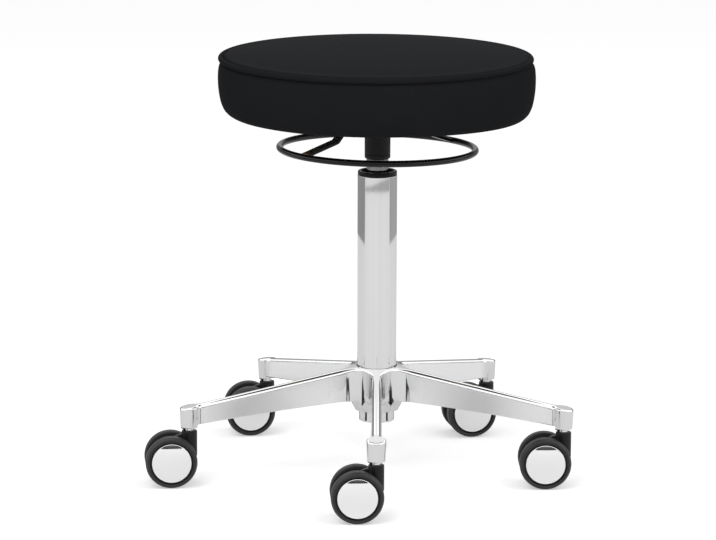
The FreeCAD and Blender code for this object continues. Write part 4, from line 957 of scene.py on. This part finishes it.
class STOOL_OT_castors(Operator):
    """Twin-wheel castors: forks, tyres, chromed caps and bright stems"""
    bl_idname = "stool.castors"
    bl_label = "Castors"

    def execute(self, context):
        sizes = context.scene.stool_castor
        for name in CASTORS:
            spin = name + "_wheel_near_spin"
            axle, across = place_of(spin), axis_of(spin)
            ahead = np.cross(across, UP)
            self.fork(name, sizes, axle, ahead, across)
            for side, outwards in (("near", -across), ("far", across)):
                self.wheel(name, side, sizes, (axle, ahead, UP, outwards))
        stems = [self.stem(sizes, stem_of(name)) for name in CASTORS]
        new_piece("castor_stems_bright", stems, "base", "silver_steel", ("castor_stems",), stem_finish)
        return {"FINISHED"}

    def stem(self, sizes, place):
        """Stem with a bright rounded neck between boss and fork."""
        low, high = heights_of("castor_stems")
        shank, grip, neck = 4.9 * MM, 5.4 * MM, sizes.stem_radius
        neck_top = boss_foot()
        neck_foot = neck_top - 4.2 * MM
        return turned([(0, low, 0), (shank, low, 0.8), (shank, neck_foot, 0), (neck, neck_foot, 0.6),
                       (neck, neck_top, 0.2), (grip, neck_top, 0), (grip, high, 0.8), (0, high, 0)],
                      40, place, closed=False)

    def fork(self, name, sizes, axle, ahead, across):
        """Stem housing, the web between the wheels with its axle boss, and the small lip under the boss."""
        node = name + "_castor_fork"
        stem = stem_of(name)
        axes = (stem, ahead, UP, across)
        housing_depth, web_drop = 34 * MM, 8 * MM
        housing_foot, rim = top_of(node) - housing_depth, top_of(node) - sizes.housing_drop
        bore, radius = 5.0 * MM, sizes.housing_radius
        housing = turned([(bore, housing_foot, 0), (radius, housing_foot, 1.5), (radius, rim, 1.2),
                          (bore, rim, 0.6)], 48, stem)
        trail = float((stem - axle) @ ahead)
        level, web = axle[2], sizes.web_radius
        shoulder, front = rim - 4 * MM, radius - 0.5 * MM
        outline = np.concatenate([
            rounded([(-trail, level - web_drop), (0, housing_foot), (front, housing_foot + radius),
                     (front, shoulder), (-radius, shoulder)], 1.5 * MM, steps=5)[:-1],
            bow((-radius, shoulder), (-trail, level + web), -1 * MM, 8),
            arc((-trail, level), web, 90, 180, 16),
        ])
        plate = slab(outline, sizes.web_thickness / 2, sizes.web_edge, *axes)
        boss_half, boss_radius = 10.2 * MM, 8 * MM
        boss = lathe(rectangle(AXLE_HOLE, boss_radius, -boss_half, boss_half, 0.5 * MM, steps=3), 40,
                     axle, ahead, UP, across)
        horn = np.array([(-6.8, -1.5), (-4.6, -1.5), (-4.6, 2.6), (-8.0, 3.4), (-11.2, 3.85), (-9.2, 2.6),
                         (-7.7, 1.4)]) * MM
        lip_half, lip_edge = 2 * MM, 0.1 * MM
        lip = slab(rounded(horn + [0, rim], 0.15 * MM, steps=3, closed=True), lip_half, lip_edge, *axes)
        new_piece(name + "_fork_moulded", [housing, plate, boss, lip], name + "_castor", "black_plastic",
                  (node,))

    def wheel(self, name, side, sizes, axes):
        """Tyre turned about the axle, with a stepped face, a groove round the cap, and the domed cap."""
        radius = axes[0][2]
        inner, outer = 10.5 * MM, 27 * MM
        hub, drum, hollow = 9 * MM, 26 * MM, inner + 6 * MM
        cap = 24.8 * MM
        lip, seat = cap + sizes.groove_width, cap - 0.5 * MM
        face, floor = outer - sizes.face_dish, outer - sizes.groove_depth
        tread_end, pocket = outer - 5.2 * MM, floor - 1 * MM
        tyre = turned([
            (AXLE_HOLE, inner, 0), (hub, inner, 0.5), (hub, hollow, 0.5), (drum, hollow, 0.5),
            (drum, inner, 0.4), (radius - sizes.tread_edge, inner, 0.6),
            (radius, inner + sizes.tread_edge, 1.0), (radius, tread_end, 0.9),
            (radius - sizes.shoulder, outer, 0.7), (lip + 0.4 * MM, face, 0.5), (lip, floor, 0.2),
            (seat, floor, 0), (seat, pocket, 0), (AXLE_HOLE, pocket, 0),
        ], 96, *axes)
        body = name + "_wheel_" + side
        new_piece(name + "_tyre_" + side, [tyre], body, "wheel_grey", (name + "_castor_wheel_" + side,))
        dome = sizes.cap_dome
        reach = np.linspace(0, cap - sizes.cap_edge, 24)
        crown = crowned(outer - 0.6 * MM + dome, cap, dome, reach)
        edge = crown[-1] + arc((0, -sizes.cap_edge), sizes.cap_edge, 80, 0, 7)
        back = floor + 0.1 * MM
        profile = np.concatenate([crown, edge, [(cap, back), (cap - 1.2 * MM, back), (0, back)]])
        new_piece(name + "_cap_" + side, [lathe(profile, 96, *axes, closed=False)], body, "cap_chrome",
                  (name + "_castor_cap_" + side,), sharp=50)


# Seat


def seat_section(sizes, shrink):
    """The cushion's section, from the middle of its top round to the middle of its underside.

    Points are (radius, height): a crown, then arcs between the cover's corners at rolled edge, crease under
    the piping, widest part and lower rounding. Shrink draws the section in before it swells.
    """
    bottom = foot_of("seat_side_band")
    radius = radius_of("seat_side_band") - shrink
    crown = top_of("seat_top_panel") - shrink
    ring, piping = radius - 4.2 * MM, middle_of("seat_piping")
    bulge = sizes.band_swell
    roll = (ring - 17.2 * MM, crown - 4.7 * MM)
    lip = (ring - 0.8 * MM, piping + 2.95 * MM)
    seam = (ring - 1.5 * MM, piping - 1.2 * MM)
    tuck = (radius - 2.4 * MM + bulge / 2, bottom + 63.7 * MM)
    widest = (radius + bulge, bottom + 49 * MM)
    turn = (radius - 4.6 * MM + bulge, bottom + 12.4 * MM)
    foot = (radius - 22.4 * MM, bottom - 0.6 * MM)
    inside = board_middle()
    return np.concatenate([
        crowned(crown, roll[0], crown - roll[1], np.linspace(0, roll[0], 24, endpoint=False)),
        bow(roll, lip, 0.6 * MM, 8),
        bow(lip, seam, 0.05 * MM, 3),
        bow(seam, tuck, 0.05 * MM, 4),
        bow(tuck, widest, 0.7 * MM, 6),
        bow(widest, turn, 1.6 * MM, 12),
        bow(turn, foot, 4 * MM, 10),
        [foot, (foot[0] - 6 * MM, bottom + 0.5 * MM), (foot[0] - 12 * MM, inside), (0, inside)],
    ])


def even_points(line, apart):
    """Points at even distances along a polyline."""
    run = np.concatenate([[0.0], np.cumsum(np.linalg.norm(np.diff(line, axis=0), axis=1))])
    at = np.linspace(0, run[-1], int(run[-1] / apart))
    return np.column_stack([np.interp(at, run, line[:, 0]), np.interp(at, run, line[:, 1])])


def piping_middle(sizes):
    """Radius and height of the piping's middle."""
    radius = radius_of("seat_piping") - sizes.piping_radius - sizes.piping_tuck
    return np.array([radius, middle_of("seat_piping")])


def settled(points, sizes):
    """Lets the sewn cover sit as it does on the board.

    It moves a little to the left, leans to the right by the tangent of its lean times x, and hangs lower at
    the right by the sag times the square of x over the radius, fading upwards and inside the board.
    """
    low, high = foot_of("seat_side_band"), foot_of("seat_piping")
    across = np.clip(points[:, 0] / radius_of("seat_side_band"), 0, None)
    hanging = np.clip((high - points[:, 2]) / (high - low), 0, 1)
    outside = np.clip(off_axis(points) / radius_of("seat_board") - 0.9, 0, 0.1) * 10
    points[:, 2] -= sizes.cover_sag * across ** 2 * hanging * outside
    points[:, 2] -= np.tan(sizes.cover_lean) * points[:, 0]
    points[:, 0] -= sizes.cover_shift
    return points


def vertex_array(mesh):
    """A mesh's points as an array."""
    flat = np.empty(len(mesh.vertices) * 3)
    mesh.vertices.foreach_get("co", flat)
    return flat.reshape(-1, 3)


def set_vertices(mesh, points):
    mesh.vertices.foreach_set("co", points.ravel())
    mesh.update()


def evaluated(thing):
    """An object's mesh with its modifiers applied; the object is removed."""
    graph = bpy.context.evaluated_depsgraph_get()
    mesh = bpy.data.meshes.new_from_object(thing.evaluated_get(graph))
    bpy.data.objects.remove(thing)
    return mesh


def modified(mesh, *modifiers):
    """A mesh after some modifiers, each given as its kind and its settings."""
    holder = placed("cushion_before", mesh)
    for kind, settings in modifiers:
        modifier = holder.modifiers.new(kind.lower(), kind)
        for name, value in settings.items():
            setattr(modifier, name, value)
    return evaluated(holder)


CLOTH_SETTINGS = {
    "vertex_group_mass": "held",
    "use_pressure": True,
    "uniform_pressure_force": 4.0,
    "quality": 6,
    "tension_stiffness": 25,
    "compression_stiffness": 25,
    "shear_stiffness": 15,
    "bending_stiffness": 4,
}
LAST_FRAME = 20


def swollen(mesh, sizes):
    """Evens the cushion's mesh, then swells it as cloth under pressure, held at the seam and underneath.

    A point that the cloth moves by d ends at limit * tanh(d / limit) from where it started.
    """
    even = modified(mesh, ("REMESH", {"mode": "VOXEL", "voxel_size": sizes.voxel}))
    start = vertex_array(even)
    trial = placed("cushion_trial", even)
    ring, level = piping_middle(sizes)
    seam_hold, hem_hold = 9 * MM, 9 * MM
    near_seam = np.exp(-((off_axis(start) - ring) ** 2 + (start[:, 2] - level) ** 2) / seam_hold ** 2)
    under = start[:, 2] < foot_of("seat_side_band") + hem_hold
    held = np.clip(np.where(under, 1.0, near_seam), 0, 1)
    group = trial.vertex_groups.new(name="held")
    for weight in np.linspace(0.1, 1.0, 10):
        chosen = np.flatnonzero(np.abs(held - weight) <= 0.05)
        group.add(chosen.tolist(), float(weight), "REPLACE")
    cloth = trial.modifiers.new("swell", "CLOTH")
    for name, value in CLOTH_SETTINGS.items():
        setattr(cloth.settings, name, value)
    cloth.settings.effector_weights.gravity = 0.0
    cloth.point_cache.frame_start = 1
    cloth.point_cache.frame_end = LAST_FRAME
    scene = bpy.context.scene
    for number in range(1, LAST_FRAME + 1):
        scene.frame_set(number)
    move = vertex_array(evaluated(trial)) - start
    far = np.linalg.norm(move, axis=1, keepdims=True)
    limit = sizes.swell_limit
    move *= limit * np.tanh(far / limit) / np.maximum(far, TINY)
    set_vertices(even, start + move)
    scene.frame_set(1)
    return even


class STOOL_OT_seat(Operator):
    """Padded drum seat: swollen cover with a piped seam and a hem under the board"""
    bl_idname = "stool.seat"
    bl_label = "Seat"

    def execute(self, context):
        sizes = context.scene.stool_seat
        shell = lathe(seat_section(sizes, sizes.shrink), 240, closed=False)
        mesh = swollen(new_mesh("seat_cushion", *shell), sizes)
        cushion = modified(mesh, ("SMOOTH", {"factor": 0.5, "iterations": 6}),
                           ("SUBSURF", {"levels": 1, "render_levels": 1}))
        self.sew(cushion, sizes)
        cushion.shade_smooth()
        piece = carried("seat_cushion_cover", cushion, "seat", "faux_leather",
                        ("seat_top_panel", "seat_side_band", "seat_foam"))
        self.hem()
        self.piping(sizes)
        return {"FINISHED"}

    def sew(self, mesh, sizes):
        """Sews the cover to its piping and flattens the underside inside the board.

        Near the piping each point moves to the nearest point of the cover's section, by a bell-shaped weight
        that fades with distance, and a narrower bell draws a crease in below the piping.
        """
        points = vertex_array(mesh)
        radius = off_axis(points)
        ring = piping_middle(sizes)
        flat = np.column_stack([radius, points[:, 2]])
        away = np.linalg.norm(flat - ring, axis=1)
        near = np.flatnonzero(away < 2.5 * sizes.seam_reach)
        section = even_points(seat_section(sizes, 0.0), 0.4 * MM)
        section = section[np.linalg.norm(section - ring, axis=1) < 3 * sizes.seam_reach]
        gaps = np.linalg.norm(flat[near, None] - section[None], axis=2)
        pull = np.exp(-(away[near] / sizes.seam_reach) ** 2)[:, None]
        flat[near] += pull * (section[gaps.argmin(axis=1)] - flat[near])
        below_piping = np.array([1.0, -4.6]) * MM
        crease = np.linalg.norm(flat - ring - below_piping, axis=1)
        flat[:, 0] -= sizes.seam_depth * np.exp(-(crease / sizes.seam_width) ** 2)
        points[:, :2] *= (flat[:, 0] / np.maximum(radius, 1e-6))[:, None]
        points[:, 2] = flat[:, 1]
        inside, flat_below = radius_of("seat_board") - 1 * MM, board_middle() + 6 * MM
        low = points[:, 2] < flat_below
        points[:, 2] = np.where(low & (radius < inside), board_middle(), points[:, 2])
        set_vertices(mesh, settled(points, sizes))

    def hem(self):
        """Cover turned under the board: a flat ring with rounded edges."""
        bottom = foot_of("seat_side_band")
        inner = radius_of("seat_dust_cover") + 0.2 * MM
        outer = radius_of("seat_side_band") - 20.5 * MM
        profile = rounded([(inner, bottom), (outer, bottom), (outer + 2 * MM, bottom + 1.4 * MM),
                           (inner, top_of("seat_dust_cover") + 0.3 * MM)],
                          np.array([0.5, 0.4, 0.4, 0]) * MM, steps=4, closed=True)
        new_piece("seat_hem", [lathe(profile, 160)], "seat", "faux_leather")

    def piping(self, sizes):
        """Piping cord sewn into the seam: a ring of round section."""
        section = arc(piping_middle(sizes), sizes.piping_radius, 0, 360, 20, endpoint=False)
        points, faces = lathe(section, 320)
        points[:, 0] -= sizes.piping_shift
        new_piece("seat_piping_cord", [(settled(points, sizes), faces)], "seat", "faux_leather",
                  ("seat_piping",))


# Pieces that keep their solid


class STOOL_OT_kept(Operator):
    """Finishes for the pieces that keep their own solid"""
    bl_idname = "stool.kept"
    bl_label = "Inner pieces"

    def execute(self, context):
        for node in frame["nodes"].values():
            slot = node.data.materials[0].name.split(".")[0]
            node.material_slots[0].material = made_once(SLOT_FINISHES[slot])
        return {"FINISHED"}


# Stage


class STOOL_OT_stage(Operator):
    """Pale floor, soft light, reflection cards and the camera"""
    bl_idname = "stool.stage"
    bl_label = "Stage"

    def execute(self, context):
        scene = context.scene
        scene.view_settings.view_transform = "Standard"
        self.camera(scene)
        self.world(scene)
        self.floor()
        side = (0.0, 0.064, 1.513), (0.0, 0.0, 9.0)
        for name, corners, glow in (
            ("card_right", self.sector(-16, 90, *side), (0.44, 0.44)),
            ("card_left", self.sector(90, 196, *side), (0.33, 0.33)),
            ("card_ahead", self.sector(196, 344, (0.0, 0.0, 2.0), (0.05, 0.0, 2.095)), (0.45, 0.45)),
            ("card_far_ahead", self.sector(196, 344, (0.0, 0.0, 2.3), (0.0, 0.0, 15.9)), (0.05, 0.05)),
            ("card_front", self.upright(-16.0, 0.0, 2.2), (0.05, 0.6)),
            ("card_front_top", self.upright(-16.0, 2.2, 5.2), (0.25, 0.2)),
            ("card_behind", self.upright(6.0, 0.0, 2.2, -1.2, 1.2), (0.35, 0.75)),
            ("card_behind_top", self.upright(6.0, 2.2, 3.4, -1.2, 1.2), (0.75, 1.45)),
            ("card_behind_left", self.upright(6.0, 0.0, 3.2, -14.0, -1.2), (0.28, 0.28)),
            ("card_behind_right", self.upright(6.0, 0.0, 3.2, 1.2, 14.0), (0.28, 0.28)),
        ):
            self.card(name, corners, *glow)
        self.lamp("key_light", (-1.4, -2.2, 3.6), 2.6, 46.0)
        self.lamp("fill_light", (2.4, -1.2, 3.0), 2.6, 24.0)
        self.lamp("top_light", (0.0, 0.8, 4.2), 3.2, 10.0)
        return {"FINISHED"}

    def camera(self, scene):
        view = bpy.data.cameras.new("photo_camera")
        view.lens = 198.14
        view.sensor_fit = "HORIZONTAL"
        view.sensor_width = 36.0
        view.clip_end = 200.0
        pitch, yaw, roll = (math.radians(turn) for turn in (90 - 11.482, 0.2825, 0.17))
        facing = Euler((pitch, 0.0, yaw)).to_matrix() @ Matrix.Rotation(roll, 3, "Z")
        scene.camera = placed("photo_camera", view)
        scene.camera.location = (0.0, -4.886, 1.252)
        scene.camera.rotation_euler = facing.to_euler()

    def world(self, scene):
        """White to the camera, brighter in reflections, softer as light."""
        scene.world = bpy.data.worlds.new("studio")
        scene.world.use_nodes = True
        tree = scene.world.node_tree
        fed(tree, tree.nodes["Background"], {"Color": WHITE, "Strength": self.seen(tree, 0.55, 1.0, 1.45)})

    def seen(self, tree, light, camera, mirror):
        """Value by what looks: light that falls on things, the camera, or a reflection and glass."""
        looks = new_node(tree, "LightPath", {}).outputs
        mirrored = new_node(tree, "Math", {0: looks["Is Glossy Ray"], 1: looks["Is Transmission Ray"]},
                            operation="MAXIMUM").outputs["Value"]
        return ranged(tree, looks["Is Camera Ray"], ranged(tree, mirrored, light, mirror), camera)

    def sector(self, start, end, inner, outer):
        """Corners of a flat ring sector just above the floor, angles in degrees from +X.

        Its inner and outer edges are arcs, each given as the centre's x and y and the radius.
        """
        corners = np.concatenate([arc(inner[:2], inner[2], start, end, 13),
                                  arc(outer[:2], outer[2], end, start, 13)])
        above_floor = 4 * MM
        return [(x, y, above_floor) for x, y in corners.tolist()]

    def upright(self, place, low, high, left=-14.0, right=14.0):
        """Corners of an upright sheet across the stage."""
        return [(left, place, low), (right, place, low), (right, place, high), (left, place, high)]

    def sheet(self, name, corners, material):
        mesh = bpy.data.meshes.new(name)
        mesh.from_pydata(corners, [], [tuple(range(len(corners)))])
        mesh.materials.append(material)
        sheet = placed(name, mesh)
        return sheet

    def floor(self):
        """Pale floor, lifted to white for the camera only, so that it keeps its shadow."""
        material, tree, shader = new_material("studio_floor")
        fed(tree, shader, {
            "Base Color": (*colours().floor, 1.0),
            "Roughness": 0.9,
            "Specular IOR Level": 0.0,
            "Emission Color": WHITE,
            "Emission Strength": self.seen(tree, 0.0, 0.42, 0.1),
        })
        self.sheet("studio_floor", [(-40, -40, 0), (40, -40, 0), (40, 40, 0), (-40, 40, 0)], material)

    def card(self, name, corners, foot_glow, top_glow):
        """Card that only reflections see; an upright one runs from its foot's glow to its top's."""
        material, tree, shader = new_material(name)
        glow = foot_glow
        foot, top = corners[0][2], corners[2][2]
        if top > foot:
            place = new_node(tree, "TexCoord", {}).outputs["Object"]
            height = new_node(tree, "SeparateXYZ", {"Vector": place}).outputs["Z"]
            glow = ranged(tree, height, foot_glow, top_glow, foot, top)
        fed(tree, shader, {"Base Color": BLACK, "Specular IOR Level": 0.0, "Emission Color": WHITE,
                           "Emission Strength": glow})
        sheet = self.sheet(name, corners, material)
        sheet.visible_camera = False
        sheet.visible_diffuse = False
        sheet.visible_shadow = False
        sheet.visible_transmission = False

    def lamp(self, name, place, size, power):
        """Round lamp aimed at the stool's middle, unseen by camera and reflections."""
        light = bpy.data.lights.new(name, "AREA")
        light.shape = "DISK"
        light.size = size
        light.energy = power
        lamp = placed(name, light)
        lamp.location = place
        x, y, z = np.array([0.0, 0.0, 0.3]) - place
        lamp.rotation_euler = (math.atan2(math.hypot(x, y), -z), 0.0, math.atan2(y, x) - math.pi / 2)
        lamp.visible_camera = False
        lamp.visible_glossy = False


class STOOL_PT_panel(Panel):
    """Lists the stool's pieces and their sizes"""
    bl_idname = "STOOL_PT_panel"
    bl_label = "Office stool"
    bl_space_type = "VIEW_3D"
    bl_region_type = "UI"
    bl_category = "Stool"

    def draw(self, context):
        layout = self.layout
        for operator in OPERATORS:
            layout.operator(operator.bl_idname)
        for group in SIZE_GROUPS:
            box = layout.box()
            holder = getattr(context.scene, group)
            for name in holder.bl_rna.properties.keys():
                if name not in ("rna_type", "name"):
                    box.prop(holder, name)


OPERATORS = (STOOL_OT_kept, STOOL_OT_base, STOOL_OT_column, STOOL_OT_release, STOOL_OT_castors, STOOL_OT_seat,
             STOOL_OT_stage)
SIZE_GROUPS = {
    "stool_base": StoolBaseSizes,
    "stool_castor": StoolCastorSizes,
    "stool_seat": StoolSeatSizes,
    "stool_colours": StoolColours,
}


def register():
    for cls in (*SIZE_GROUPS.values(), *OPERATORS, STOOL_PT_panel):
        bpy.utils.register_class(cls)
    for name, group in SIZE_GROUPS.items():
        setattr(bpy.types.Scene, name, PointerProperty(type=group))


def unregister():
    for name in SIZE_GROUPS:
        delattr(bpy.types.Scene, name)
    for cls in (STOOL_PT_panel, *reversed(OPERATORS), *SIZE_GROUPS.values()):
        bpy.utils.unregister_class(cls)


def main():
    register()
    bpy.ops.stool.kept()
    bpy.ops.stool.base()
    bpy.ops.stool.column()
    bpy.ops.stool.release()
    bpy.ops.stool.castors()
    bpy.ops.stool.seat()
    bpy.ops.stool.stage()


if __name__ == "__main__":
    main()
